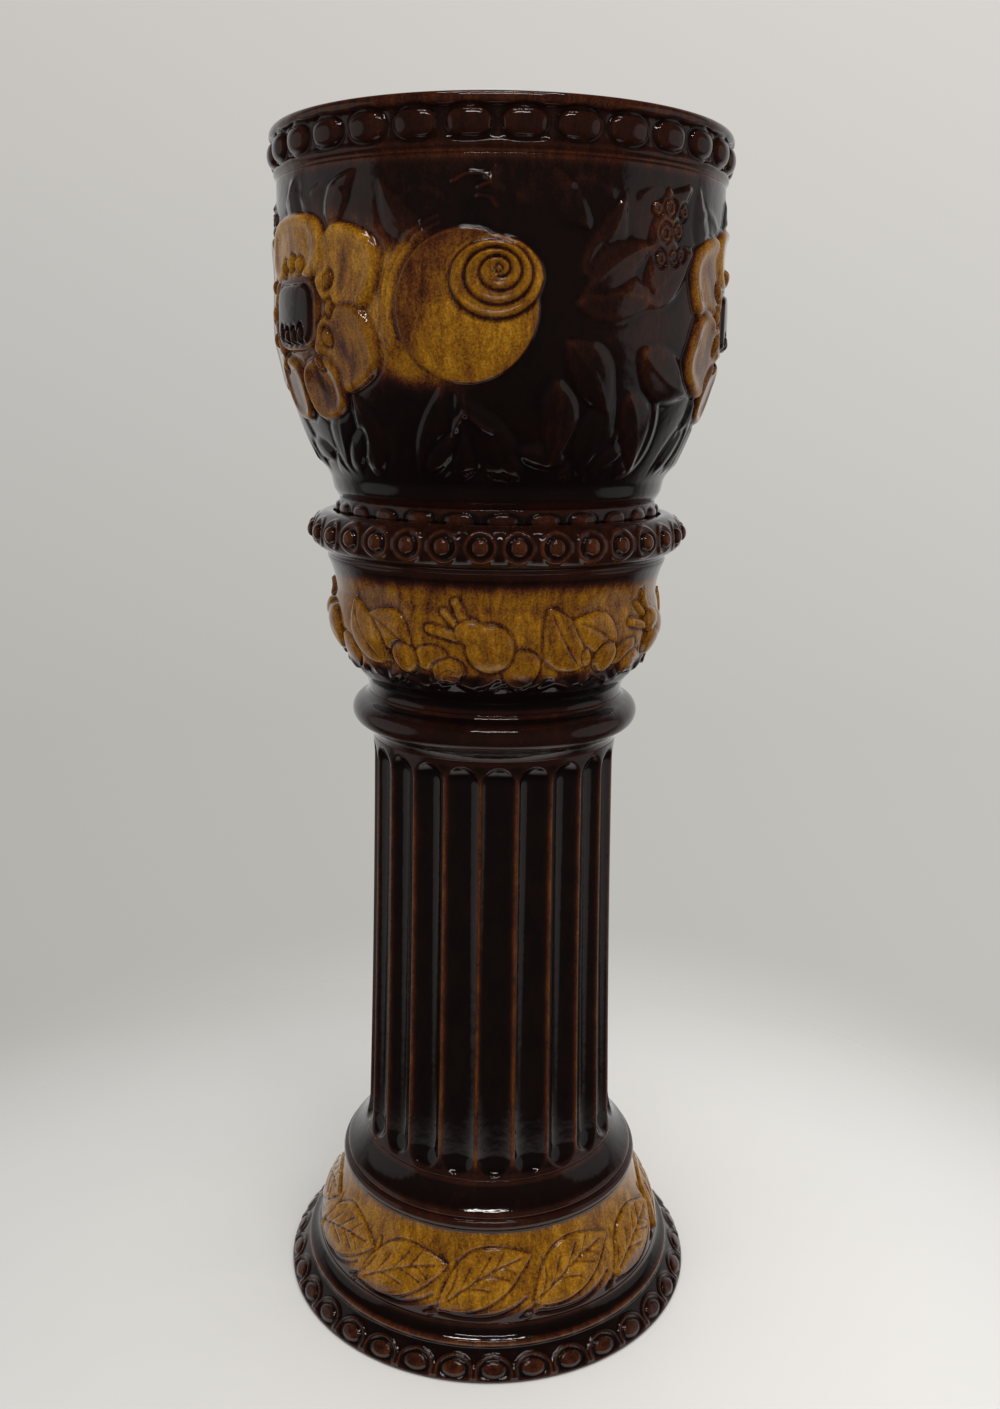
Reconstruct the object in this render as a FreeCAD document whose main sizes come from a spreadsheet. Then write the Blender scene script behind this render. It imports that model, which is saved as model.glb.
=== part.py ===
import FreeCAD, Part

# Jardiniere on stand: a round glazed pot with a beaded rim, standing on a hollow fluted pedestal.
# Millimetres, +Z up. The origin is the centre of the pedestal's underside, on the floor.
#
# Both pieces are turned forms. Each is built from the sections that it is luted together from:
# a section is one outline turned about the Z axis, with its beads or flutes patterned round it.
# The lowest section stands at height 0 and each other one stands on the section under it.

import math
import os
import re

import Sketcher

# The part's sizes: name, value, what it is. A value that starts with = follows from other sizes.
SIZES = [
    ("stand_bore", 68.0, "radius of the hollow through the stand"),

    ("base_height", 88.0, "height of the flared base"),
    ("base_radius", 141.0, "radius of the base on the floor"),
    ("base_edge", 2.0, "upright edge at the floor"),
    ("base_foot_width", 12.0, "width of the ring that the base stands on"),
    ("plinth_height", 16.0, "top of the sloping plinth"),
    ("plinth_slope", 13.0, "how far the plinth slopes in"),
    ("plinth_radius", "=base_radius - plinth_slope", "radius at the top of the plinth"),
    ("ridge_height", 4.5, "height of the ridge line on the plinth"),
    ("ridge_proud", 1.2, "how far the ridge line stands proud"),
    ("cove_set_in", 7.2, "how far the foot of the leaf band lies inside the plinth's top"),
    ("cove_radius", "=plinth_radius - cove_set_in", "radius at the foot of the leaf band"),
    ("cove_height", 28.0, "height of the foot of the leaf band"),
    ("band_flare", 7.2, "flare of the leaf band from its top to where it turns hollow"),
    ("band_middle_radius", "=band_top_radius + band_flare", "radius where the leaf band turns hollow"),
    ("band_middle_height", 57.0, "height where the leaf band turns hollow"),
    ("band_swell", 2.2, "swell of the lower leaf band"),
    ("band_hollow", 1.2, "hollow of the upper leaf band"),
    ("base_ring_height", 6.5, "height of the thin ring at the top of the base"),
    ("band_top_height", "=base_height - base_ring_height", "top of the leaf band"),
    ("band_top_step", 2.2, "step from the top of the leaf band to the coved ring's lip"),
    ("band_top_radius", "=column_foot_lip_radius + band_top_step", "radius at the leaf band's top"),
    ("base_ring_proud", 1.2, "how far the thin ring on the base stands proud"),
    ("base_wall", 7.0, "thickness of the base's wall at the foot of the leaf band"),
    ("base_shoulder", 12.0, "thickness of the base's wall at the top of the leaf band"),
    ("base_throat_radius", "=band_top_radius - base_shoulder", "radius of the hollow where it widens"),
    ("base_throat_drop", 15.0, "depth of that place under the base's top"),
    ("plinth_oval_count", 34, "ovals round the plinth"),
    ("plinth_oval_width", 21.0, "width of an oval round the plinth"),
    ("plinth_oval_length", 12.0, "length of an oval up the slope of the plinth"),
    ("plinth_oval_proud", 2.2, "how far an oval stands proud of the plinth"),

    ("column_foot_height", 20.0, "height of the coved ring"),
    ("column_foot_reach", 12.2, "how far the coved ring's lip stands out from the column"),
    ("column_foot_lip_radius", "=column_root_radius + column_foot_reach", "radius of that lip"),
    ("column_foot_lip_height", 4.5, "height of the coved ring's lip"),
    ("column_foot_lip_proud", 0.7, "roundness of the coved ring's lip"),
    ("column_foot_hollow", 1.3, "hollow of the coved ring"),

    ("column_height", 280.0, "height of the fluted column"),
    ("column_wall", 11.0, "thickness of the shaft's wall at its narrowest"),
    ("column_taper", 5.6, "how much narrower the shaft gets on its way up"),
    ("column_root_flare", 3.0, "flare of the column at its very foot"),
    ("column_head_flare", 0.8, "flare of the column at its very top"),
    ("column_root_radius", "=column_lower_radius + column_root_flare", "radius at the very foot"),
    ("column_flare_height", 13.0, "height of the flare at the column's foot"),
    ("column_lower_radius", "=column_upper_radius + column_taper", "radius above the foot flare"),
    ("column_upper_radius", "=stand_bore + column_wall", "radius below the top flare"),
    ("column_top_radius", "=column_upper_radius + column_head_flare", "radius at the very top"),
    ("column_top_flare", 14.0, "height of the flare at the column's top"),
    ("column_entasis", 0.6, "hollow of the shaft between its two ends"),
    ("flute_count", 22, "flutes round the column"),
    ("flute_radius", 12.0, "radius of the tool that cuts a flute"),
    ("flute_depth", 5.0, "depth of a flute"),
    ("flute_foot", 14.0, "height of the lower end of the flute's straight run"),
    ("flute_head", 15.0, "depth of its upper end under the column's top"),

    ("neck_ring_height", 30.0, "height of the moulded neck ring"),
    ("neck_ring_cove", 10.0, "height of the cove under the round moulding"),
    ("neck_ring_reach", 9.7, "how far that cove spreads over the column's top"),
    ("neck_ring_cove_radius", "=column_top_radius + neck_ring_reach", "radius at the cove's top"),
    ("neck_ring_cove_hollow", 1.4, "hollow of that cove"),
    ("neck_ring_round", 16.0, "height of the round moulding"),
    ("neck_ring_set_in", 3.5, "how far the top of the round moulding lies inside its foot"),
    ("neck_ring_round_radius", "=neck_ring_cove_radius - neck_ring_set_in", "radius at its top"),
    ("neck_ring_round_proud", 5.0, "how far the round moulding stands proud"),
    ("neck_spread", 2.4, "how much wider the neck is than the column's top"),
    ("neck_radius", "=column_top_radius + neck_spread", "radius of the narrow neck under the capital"),

    ("capital_height", 115.0, "height of the capital"),
    ("neck_run", 3.0, "height of the plain neck under the capital"),
    ("dish_flare", 5.4, "how far the dish's root stands out from the neck"),
    ("dish_root_height", 13.0, "height where the capital's dish starts"),
    ("dish_root_radius", "=neck_radius + dish_flare", "radius where the capital's dish starts"),
    ("dish_spread", 16.2, "how far the dish spreads from its root to its widest place"),
    ("dish_shoulder", 19.0, "height from the dish's widest place to the waist"),
    ("dish_belly_height", "=dish_waist_height - dish_shoulder", "height of the dish's widest place"),
    ("dish_belly_radius", "=dish_root_radius + dish_spread", "radius of the dish's widest place"),
    ("dish_swell", 1.8, "swell of the dish"),
    ("dish_waist_set_in", 1.8, "how far the waist lies inside the widest place"),
    ("dish_waist_height", "=fillet_height - fillet_run", "height of the waist over the dish"),
    ("dish_waist_radius", "=dish_belly_radius - dish_waist_set_in", "radius of that waist"),
    ("fillet_run", 20.0, "height of the plain fillet under the rim"),
    ("fillet_height", "=capital_rim_root_height - rim_underside - rim_ridge", "height of its top"),
    ("fillet_reach", 5.2, "how far the top of that fillet stands out from the waist"),
    ("fillet_radius", "=dish_waist_radius + fillet_reach", "radius at the top of that fillet"),
    ("fillet_hollow", 1.0, "hollow of that fillet"),
    ("rim_underside", 2.5, "rise of the rim's underside from that ridge"),
    ("rim_ridge", 4.0, "height of the ridge under the capital's rim"),
    ("rim_ridge_proud", 1.0, "how far that ridge stands proud"),
    ("capital_rim_root_radius", "=capital_crest_radius + capital_crest_step", "radius of the rim's foot"),
    ("capital_rim_height", 20.0, "height of the beaded rim's round face"),
    ("capital_rim_root_height", "=capital_height - capital_crest_rise - capital_rim_height",
     "height of the rim's foot"),
    ("capital_rim_proud", 4.6, "roundness of the beaded rim"),
    ("capital_crest_width", 3.6, "width of the crest that rings the seat"),
    ("capital_crest_step", 5.2, "how far the beaded rim stands out from its crest"),
    ("capital_crest_rise", 2.5, "height of the crest over the beaded rim"),
    ("seat_radius", "=pot_foot_radius + foot_oval_proud + seat_clearance", "radius of the pot's seat"),
    ("capital_crest_radius", "=seat_radius + capital_crest_width", "radius of the crest round the seat"),
    ("capital_crest_round", 0.5, "roundness between the beaded rim and its crest"),
    ("seat_depth", 7.0, "depth of the seat that the pot stands in"),
    ("seat_clearance", 2.6, "gap round the pot's foot in the seat"),
    ("seat_thickness", 9.0, "thickness of the seat's floor"),
    ("capital_wall", 11.0, "thickness of the capital's wall at the waist"),
    ("capital_hollow_radius", "=dish_waist_radius - capital_wall", "radius of the capital's hollow"),
    ("capital_hollow_drop", 1.0, "how far under the widest place that hollow starts to narrow"),
    ("capital_hollow_foot", "=dish_belly_height - capital_hollow_drop", "height of the hollow's foot"),
    ("capital_bead_count", 34, "beads round the capital's rim"),
    ("capital_bead_size", 11.0, "diameter of a bead on the capital's rim"),
    ("capital_bead_proud", 4.0, "how far a bead stands proud of the rim"),
    ("capital_bead_rise", 11.0, "height of the beads' centres over the rim's underside"),
    ("capital_bead_height", "=capital_rim_root_height + capital_bead_rise", "height of those centres"),

    ("pot_foot_height", 15.0, "height of the pot's foot ring"),
    ("pot_foot_radius", 98.6, "radius of the foot ring at its underside"),
    ("pot_foot_spread", 0.6, "how much wider the foot ring is at its top"),
    ("pot_foot_top_radius", "=pot_foot_radius + pot_foot_spread", "radius of the foot ring at its top"),
    ("pot_foot_proud", 1.0, "roundness of the foot ring"),
    ("pot_foot_width", 11.0, "width of the ring that the pot stands on"),
    ("foot_oval_count", 26, "ovals round the foot ring"),
    ("foot_oval_width", 19.0, "width of an oval on the foot ring"),
    ("foot_oval_border", 1.75, "plain border over and under an oval on the foot ring"),
    ("foot_oval_size", "=pot_foot_height - 2 * foot_oval_border", "height of an oval on the foot ring"),
    ("foot_oval_proud", 2.0, "how far an oval stands proud of the foot ring"),

    ("bowl_height", 181.0, "height of the pot's bowl"),
    ("bowl_wall", 8.4, "thickness of the bowl's upright wall"),
    ("bowl_floor", 9.0, "thickness of the bowl's floor"),
    ("bowl_root_height", 5.0, "height of the plain step over the foot"),
    ("bowl_root_reach", 3.2, "how far that step stands out from the foot ring"),
    ("bowl_root_radius", "=pot_foot_top_radius + bowl_root_reach", "radius of that step"),
    ("bowl_neck_height", 13.0, "height where the bowl starts to open"),
    ("bowl_neck_reach", 1.8, "how much wider the bowl is where it starts to open"),
    ("bowl_neck_radius", "=bowl_root_radius + bowl_neck_reach", "radius where the bowl starts to open"),
    ("bowl_wall_height", 92.0, "height where the wall turns upright"),
    ("bowl_wall_spread", 0.4, "how much wider the wall is at its foot than at its top"),
    ("bowl_wall_radius", "=bowl_shoulder_radius + bowl_wall_spread", "radius where the wall turns upright"),
    ("bowl_shoulder_radius", 133.4, "radius of the wall at its top"),
    ("bowl_swell", 3.2, "swell of the bowl between floor and wall"),
    ("bowl_fillet", 7.0, "height of the bend between floor and wall inside"),

    ("pot_rim_height", 28.0, "height of the pot's rim"),
    ("pot_ridge_foot", 1.5, "height of the foot of the ridge under the beads"),
    ("pot_ridge_height", 5.0, "height of that ridge"),
    ("pot_ridge_proud", 1.4, "how far that ridge stands proud"),
    ("bead_band_top", 21.0, "height of the top of the bead band"),
    ("bead_band_reach", 0.4, "how far the bead band stands out from the wall's top"),
    ("bead_band_radius", "=bowl_shoulder_radius + bead_band_reach", "radius of the bead band"),
    ("pot_lip_reach", 3.0, "how far the pot's lip stands out from the wall's top"),
    ("pot_lip_radius", "=bowl_shoulder_radius + pot_lip_reach", "radius of the pot's lip"),
    ("pot_lip_round", 1.2, "roundness of the pot's lip"),
    ("pot_mouth_round", 3.0, "rounding of the lip into the mouth"),
    ("rim_bead_count", 30, "ovals round the pot's rim"),
    ("rim_bead_width", 24.5, "width of an oval on the pot's rim"),
    ("rim_bead_size", 12.0, "height of an oval on the pot's rim"),
    ("rim_bead_proud", 5.8, "how far an oval stands proud of its band"),
    ("rim_bead_rise", 6.6, "depth of the ovals' centres under the top of the bead band"),
    ("rim_bead_height", "=bead_band_top - rim_bead_rise", "height of the ovals' centres"),
]

# Heights at which the sections stand.
STAND_ON_BASE = "base_height"
STAND_ON_FOOT = STAND_ON_BASE + " + column_foot_height"
STAND_ON_COLUMN = STAND_ON_FOOT + " + column_height"
STAND_ON_NECK = STAND_ON_COLUMN + " + neck_ring_height"
SEAT = STAND_ON_NECK + " + capital_height - seat_depth"
BOWL_FOOT = SEAT + " + pot_foot_height"
RIM_FOOT = BOWL_FOOT + " + bowl_height"

doc = FreeCAD.newDocument("jardiniere_on_stand")
sheet = doc.addObject("Spreadsheet::Sheet", "Sizes")
for row, (alias, _, _) in enumerate(SIZES, start=1):
    sheet.setAlias(f"B{row}", alias)
for row, (_, size, meaning) in enumerate(SIZES, start=1):
    sheet.set(f"A{row}", meaning)
    sheet.set(f"B{row}", str(size))
doc.recompute()

ALIASES = re.compile(r"\b(" + "|".join(alias for alias, _, _ in SIZES) + r")\b")


def bound(formula):
    """The formula with each size named in it read from the sheet."""
    return ALIASES.sub(r"Sizes.\1", formula)


def worth(formula):
    """The number that a formula gives now."""
    return float(sheet.evalExpression(bound(formula)))


def plane(body, role):
    """One of a body's own origin planes."""
    return next(feature for feature in body.Origin.OriginFeatures if feature.Role == role)


def new_sketch(body, name):
    """An empty sketch on the body's upright XZ plane."""
    sketch = body.newObject("Sketcher::SketchObject", name)
    sketch.AttachmentSupport = [(plane(body, "XZ_Plane"), "")]
    sketch.MapMode = "FlatFace"
    return sketch


def pin(sketch, edge, end, radius, height):
    """Hold one end of an edge at a radius and a height given as formulas."""
    for kind, formula, axis in (("DistanceX", radius, -2), ("DistanceY", height, -1)):
        if formula == "0":
            sketch.addConstraint(Sketcher.Constraint("PointOnObject", edge, end, axis))
            continue
        index = sketch.addConstraint(Sketcher.Constraint(kind, -1, 1, edge, end, worth(formula)))
        sketch.setExpression(f"Constraints[{index}]", bound(formula))


def arc_between(start, end, bulge):
    """The arc from start to end that stands out by bulge to the right of the way it runs."""
    chord = end - start
    radius = chord.Length ** 2 / (8 * abs(bulge)) + abs(bulge) / 2
    right = FreeCAD.Vector(chord.y, -chord.x, 0).normalize()
    side = math.copysign(1, bulge)
    centre = (start + end) / 2 + right * side * (abs(bulge) - radius)
    first, last = (start, end) if bulge > 0 else (end, start)
    angles = [math.atan2(corner.y - centre.y, corner.x - centre.x) for corner in (first, last)]
    circle = Part.Circle(centre, FreeCAD.Vector(0, 0, 1), radius)
    return Part.ArcOfCircle(circle, *angles)


def draw_outline(sketch, outline):
    """Draw a closed outline. Each corner is its radius, its height and the bulge of the edge
    that leaves it: an arc that stands out to the right, a hollow one if negative, a line if none.
    """
    corners = [FreeCAD.Vector(worth(radius), worth(height), 0) for radius, height, _ in outline]
    ends = []
    for index, (_, _, bulge) in enumerate(outline):
        start, end = corners[index], corners[(index + 1) % len(corners)]
        if not bulge:
            ends.append((sketch.addGeometry(Part.LineSegment(start, end)), 1, 2))
            continue
        edge = sketch.addGeometry(arc_between(start, end, worth(bulge)))
        ends.append((edge, 1, 2) if worth(bulge) > 0 else (edge, 2, 1))
    for index, (edge, first, _) in enumerate(ends):
        before, _, last = ends[index - 1]
        sketch.addConstraint(Sketcher.Constraint("Coincident", before, last, edge, first))
        pin(sketch, edge, first, outline[index][0], outline[index][1])
    for index, (radius, height, bulge) in enumerate(outline):
        if not bulge:
            continue
        next_radius, next_height, _ = outline[(index + 1) % len(outline)]
        rise = f"abs({bulge})"
        chord_squared = f"(({next_radius}) - ({radius}))^2 + (({next_height}) - ({height}))^2"
        formula = f"({chord_squared}) / (8 * {rise}) + {rise} / 2"
        edge = ends[index][0]
        number = sketch.addConstraint(Sketcher.Constraint("Radius", edge, worth(formula)))
        sketch.setExpression(f"Constraints[{number}]", bound(formula))


def turned(name, stands_at, outline):
    """A body turned from an outline about the Z axis, standing at a height."""
    body = doc.addObject("PartDesign::Body", name)
    body.Label = name
    sketch = new_sketch(body, name + "_outline")
    draw_outline(sketch, outline)
    revolution = body.newObject("PartDesign::Revolution", name + "_turned")
    revolution.Profile = sketch
    revolution.ReferenceAxis = (sketch, ["V_Axis"])
    revolution.Angle = 360
    body.setExpression("Placement.Base.z", bound(stands_at))
    return body


def ring_of(body, feature, count):
    """Repeat a feature round the Z axis."""
    ring = body.newObject("PartDesign::PolarPattern", feature.Name + "_ring")
    ring.Originals = [feature]
    ring.Axis = (plane(body, "Z_Axis"), [""])
    ring.Angle = 360
    ring.setExpression("Occurrences", bound(count))
    body.Tip = ring


def beads(body, name, count, at, lean, width, height, proud):
    """A ring of oval beads on a body. Each is centred on the face that it stands on, at a
    (radius, height), and leans back from upright by an angle in degrees."""
    doc.recompute()
    bead = body.newObject("PartDesign::AdditiveEllipsoid", name)
    bead.AttachmentSupport = [(plane(body, "XY_Plane"), "")]
    bead.MapMode = "FlatFace"
    bead.setExpression("Radius1", bound(f"({height}) / 2"))
    bead.setExpression("Radius2", bound(proud))
    bead.setExpression("Radius3", bound(f"({width}) / 2"))
    bead.AttachmentOffset = FreeCAD.Placement(FreeCAD.Vector(), FreeCAD.Vector(0, 1, 0), -1)
    bead.setExpression("AttachmentOffset.Base.x", bound(at[0]))
    bead.setExpression("AttachmentOffset.Base.z", bound(at[1]))
    bead.setExpression("AttachmentOffset.Rotation.Angle", bound(lean))
    ring_of(body, bead, count)


def make_base():
    """The flared base: sloping plinth with its ovals, ridge, cove, leaf band and thin ring."""
    foot_bore = "base_radius - base_foot_width"
    throat_height = "base_height - base_throat_drop"
    body = turned("base", "0", [
        ("base_radius", "0", ""),
        ("base_radius", "base_edge", ""),
        ("plinth_radius", "plinth_height", "ridge_proud"),
        ("plinth_radius - ridge_proud", "plinth_height + ridge_height", "-ridge_proud"),
        ("cove_radius", "cove_height", "band_swell"),
        ("band_middle_radius", "band_middle_height", "-band_hollow"),
        ("band_top_radius", "band_top_height", "base_ring_proud"),
        ("band_top_radius", "base_height", ""),
        ("stand_bore", "base_height", ""),
        ("base_throat_radius", throat_height, ""),
        ("cove_radius - base_wall", "cove_height", ""),
        (foot_bore, "0", ""),
    ])
    slope_height = "plinth_height - base_edge"
    middle = ("(base_radius + plinth_radius) / 2", "(base_edge + plinth_height) / 2")
    lean = f"0 - atan(plinth_slope / ({slope_height})) / 1deg"
    beads(body, "plinth_oval", "plinth_oval_count", middle, lean,
          "plinth_oval_width", "plinth_oval_length", "plinth_oval_proud")
    return body


def make_column_foot():
    """The coved ring between the base and the column."""
    return turned("column_foot", STAND_ON_BASE, [
        ("column_foot_lip_radius", "0", "column_foot_lip_proud"),
        ("column_foot_lip_radius - column_foot_lip_proud", "column_foot_lip_height",
         "-column_foot_hollow"),
        ("column_root_radius", "column_foot_height", ""),
        ("stand_bore", "column_foot_height", ""),
        ("stand_bore", "0", ""),
    ])


def make_column():
    """The hollow column, tapering upwards, with its flutes."""
    top_flare_height = "column_height - column_top_flare"
    body = turned("column", STAND_ON_FOOT, [
        ("column_root_radius", "0", "-column_entasis"),
        ("column_lower_radius", "column_flare_height", "-column_entasis"),
        ("column_upper_radius", top_flare_height, ""),
        ("column_top_radius", "column_height", ""),
        ("stand_bore", "column_height", ""),
        ("stand_bore", "0", ""),
    ])
    doc.recompute()
    # The flute tool is a rounded bar that leans with the taper of the column.
    sketch = new_sketch(body, "flute_outline")
    reach = "flute_radius - flute_depth"
    foot = (f"column_lower_radius + {reach}", "flute_foot")
    head = (f"column_upper_radius + {reach}", "column_height - flute_head")
    start, end = (FreeCAD.Vector(worth(radius), worth(height), 0) for radius, height in (foot, head))
    along = (end - start).normalize()
    out = FreeCAD.Vector(along.y, -along.x, 0)
    radius = worth("flute_radius")
    side_start, side_end = start + out * radius, end + out * radius
    tip_start, tip_end = start - along * radius, end + along * radius
    lean = math.atan2(along.y, along.x)
    axis = sketch.addGeometry(Part.LineSegment(start, end), True)
    side = sketch.addGeometry(Part.LineSegment(side_start, side_end))
    cap = sketch.addGeometry(Part.ArcOfCircle(
        Part.Circle(end, FreeCAD.Vector(0, 0, 1), radius), lean - math.pi / 2, lean))
    back = sketch.addGeometry(Part.LineSegment(tip_end, tip_start))
    toe = sketch.addGeometry(Part.ArcOfCircle(
        Part.Circle(start, FreeCAD.Vector(0, 0, 1), radius), lean - math.pi, lean - math.pi / 2))
    pin(sketch, axis, 1, *foot)
    pin(sketch, axis, 2, *head)
    sketch.addConstraint([
        Sketcher.Constraint("Coincident", toe, 3, axis, 1),
        Sketcher.Constraint("Coincident", cap, 3, axis, 2),
        Sketcher.Constraint("Tangent", toe, 2, side, 1),
        Sketcher.Constraint("Tangent", side, 2, cap, 1),
        Sketcher.Constraint("Coincident", cap, 2, back, 1),
        Sketcher.Constraint("Coincident", back, 2, toe, 1),
        Sketcher.Constraint("PointOnObject", back, 1, axis),
        Sketcher.Constraint("PointOnObject", back, 2, axis),
    ])
    number = sketch.addConstraint(Sketcher.Constraint("Radius", toe, radius))
    sketch.setExpression(f"Constraints[{number}]", bound("flute_radius"))
    doc.recompute()
    flute = body.newObject("PartDesign::Groove", "flute")
    flute.Profile = sketch
    flute.ReferenceAxis = (sketch, ["Axis0"])
    flute.Angle = 360
    doc.recompute()
    ring_of(body, flute, "flute_count")
    return body


def make_neck_ring():
    """The neck ring: a cove with a round moulding on it."""
    round_top = "neck_ring_cove + neck_ring_round"
    return turned("neck_ring", STAND_ON_COLUMN, [
        ("column_top_radius", "0", "-neck_ring_cove_hollow"),
        ("neck_ring_cove_radius", "neck_ring_cove", "neck_ring_round_proud"),
        ("neck_ring_round_radius", round_top, "-neck_ring_cove_hollow / 2"),
        ("neck_radius", "neck_ring_height", ""),
        ("stand_bore", "neck_ring_height", ""),
        ("stand_bore", "0", ""),
    ])


def make_capital():
    """The capital: neck, dish with the leaf band, fillet, beaded rim, and the seat on top."""
    seat_height = "capital_height - seat_depth"
    ceiling = f"{seat_height} - seat_thickness"
    rim_top = "capital_rim_root_height + capital_rim_height"
    body = turned("capital", STAND_ON_NECK, [
        ("neck_radius", "0", ""),
        ("neck_radius", "neck_run", "-fillet_hollow"),
        ("dish_root_radius", "dish_root_height", "dish_swell"),
        ("dish_belly_radius", "dish_belly_height", "dish_swell / 2"),
        ("dish_waist_radius", "dish_waist_height", "-fillet_hollow"),
        ("fillet_radius", "fillet_height", "rim_ridge_proud"),
        ("fillet_radius", "fillet_height + rim_ridge", ""),
        ("capital_rim_root_radius", "capital_rim_root_height", "capital_rim_proud"),
        ("capital_rim_root_radius", rim_top, "capital_crest_round"),
        ("capital_crest_radius", "capital_height", ""),
        ("seat_radius", "capital_height", ""),
        ("seat_radius", seat_height, ""),
        ("0", seat_height, ""),
        ("0", ceiling, ""),
        ("capital_hollow_radius", ceiling, ""),
        ("capital_hollow_radius", "capital_hollow_foot", ""),
        ("stand_bore", "dish_root_height", ""),
        ("stand_bore", "0", ""),
    ])
    beads(body, "capital_bead", "capital_bead_count",
          ("capital_rim_root_radius + capital_rim_proud", "capital_bead_height"), "0",
          "capital_bead_size", "capital_bead_size", "capital_bead_proud")
    return body


def make_pot_foot():
    """The pot's foot ring with its row of ovals."""
    bore = "pot_foot_radius - pot_foot_width"
    body = turned("pot_foot", SEAT, [
        ("pot_foot_radius", "0", "pot_foot_proud"),
        ("pot_foot_top_radius", "pot_foot_height", ""),
        (bore, "pot_foot_height", ""),
        (bore, "0", ""),
    ])
    middle = ("(pot_foot_radius + pot_foot_top_radius) / 2", "pot_foot_height / 2")
    beads(body, "foot_oval", "foot_oval_count", middle, "0",
          "foot_oval_width", "foot_oval_size", "foot_oval_proud + pot_foot_proud")
    return body


def make_pot_bowl():
    """The pot's bowl: floor, opening sides and upright wall."""
    bore = "bowl_shoulder_radius - bowl_wall"
    floor_edge = "bowl_neck_radius - bowl_wall - bowl_fillet"
    fillet_top = "bowl_floor + bowl_fillet"
    return turned("pot_bowl", BOWL_FOOT, [
        ("pot_foot_top_radius", "0", ""),
        ("bowl_root_radius", "bowl_root_height", ""),
        ("bowl_neck_radius", "bowl_neck_height", "bowl_swell"),
        ("bowl_wall_radius", "bowl_wall_height", ""),
        ("bowl_shoulder_radius", "bowl_height", ""),
        (bore, "bowl_height", ""),
        (bore, "bowl_wall_height", "-bowl_swell"),
        ("bowl_neck_radius - bowl_wall", fillet_top, ""),
        (floor_edge, "bowl_floor", ""),
        ("0", "bowl_floor", ""),
        ("0", "0", ""),
    ])


def make_pot_rim():
    """The pot's rim: a ridge, a band with its row of ovals, and the lip round the mouth."""
    bore = "bowl_shoulder_radius - bowl_wall"
    body = turned("pot_rim", RIM_FOOT, [
        ("bowl_shoulder_radius", "0", ""),
        ("bowl_shoulder_radius", "pot_ridge_foot", "pot_ridge_proud"),
        ("bead_band_radius", "pot_ridge_foot + pot_ridge_height", ""),
        ("bead_band_radius", "bead_band_top", ""),
        ("pot_lip_radius", "bead_band_top + pot_lip_round", "pot_lip_round"),
        ("pot_lip_radius - pot_lip_round", "pot_rim_height", ""),
        (bore + " + pot_mouth_round", "pot_rim_height", "pot_mouth_round / 4"),
        (bore, "pot_rim_height - pot_mouth_round", ""),
        (bore, "0", ""),
    ])
    beads(body, "rim_bead", "rim_bead_count", ("bead_band_radius", "rim_bead_height"), "0",
          "rim_bead_width", "rim_bead_size", "rim_bead_proud")
    return body


def check(bodies):
    """Stop if any object failed, or a section's shape is null, invalid or not one solid."""
    doc.recompute()
    for item in doc.Objects:
        if {"Invalid", "Error"} & set(item.State):
            raise RuntimeError(f"{item.Label} failed: {item.State}")
    for body in bodies:
        if body.Shape.isNull() or not body.Shape.isValid() or len(body.Shape.Solids) != 1:
            raise RuntimeError(f"{body.Label} has no single valid solid")


def write(bodies):
    """Write one STEP file for each section and print its volume."""
    os.makedirs("parts", exist_ok=True)
    for body in bodies:
        body.Shape.exportStep(f"parts/{body.Label}.step")
        print(f"{body.Label}: {body.Shape.Volume:.0f} mm3")


sections = [make_base(), make_column_foot(), make_column(), make_neck_ring(), make_capital(),
            make_pot_foot(), make_pot_bowl(), make_pot_rim()]
check(sections)
write(sections)
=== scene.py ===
"""Jardiniere on stand: the glazed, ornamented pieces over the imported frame, with floor, light and
camera. Outlines and reliefs are in mm, and angles are in degrees."""

import math
from functools import partial

import bmesh
import bpy
import numpy as np
from mathutils import Matrix, Vector


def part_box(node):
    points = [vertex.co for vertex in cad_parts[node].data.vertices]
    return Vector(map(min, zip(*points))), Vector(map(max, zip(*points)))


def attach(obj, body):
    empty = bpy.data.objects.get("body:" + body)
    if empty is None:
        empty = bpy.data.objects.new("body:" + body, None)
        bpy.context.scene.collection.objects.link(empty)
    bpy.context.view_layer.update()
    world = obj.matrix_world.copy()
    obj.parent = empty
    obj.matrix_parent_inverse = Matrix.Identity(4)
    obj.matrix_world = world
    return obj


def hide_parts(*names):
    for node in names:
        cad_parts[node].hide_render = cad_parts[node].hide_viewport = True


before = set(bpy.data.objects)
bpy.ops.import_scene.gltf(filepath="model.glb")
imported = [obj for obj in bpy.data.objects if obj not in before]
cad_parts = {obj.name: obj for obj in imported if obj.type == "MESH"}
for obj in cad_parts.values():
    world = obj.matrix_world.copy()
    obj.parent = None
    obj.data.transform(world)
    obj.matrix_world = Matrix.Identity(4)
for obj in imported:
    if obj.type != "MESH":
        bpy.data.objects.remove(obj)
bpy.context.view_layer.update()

bl_info = {
    "name": "Jardiniere on stand",
    "version": (1, 0, 0),
    "blender": (4, 5, 0),
    "location": "View3D > Sidebar > Jardiniere",
    "description": "Builds the glazed jardiniere and its pedestal, with floor, light and camera",
    "category": "Add Mesh",
}

MM = 0.001


def top(node):
    """Height of a node's upper end, in mm."""
    return round(float(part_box(node)[1][2]) / MM, 3)


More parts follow.
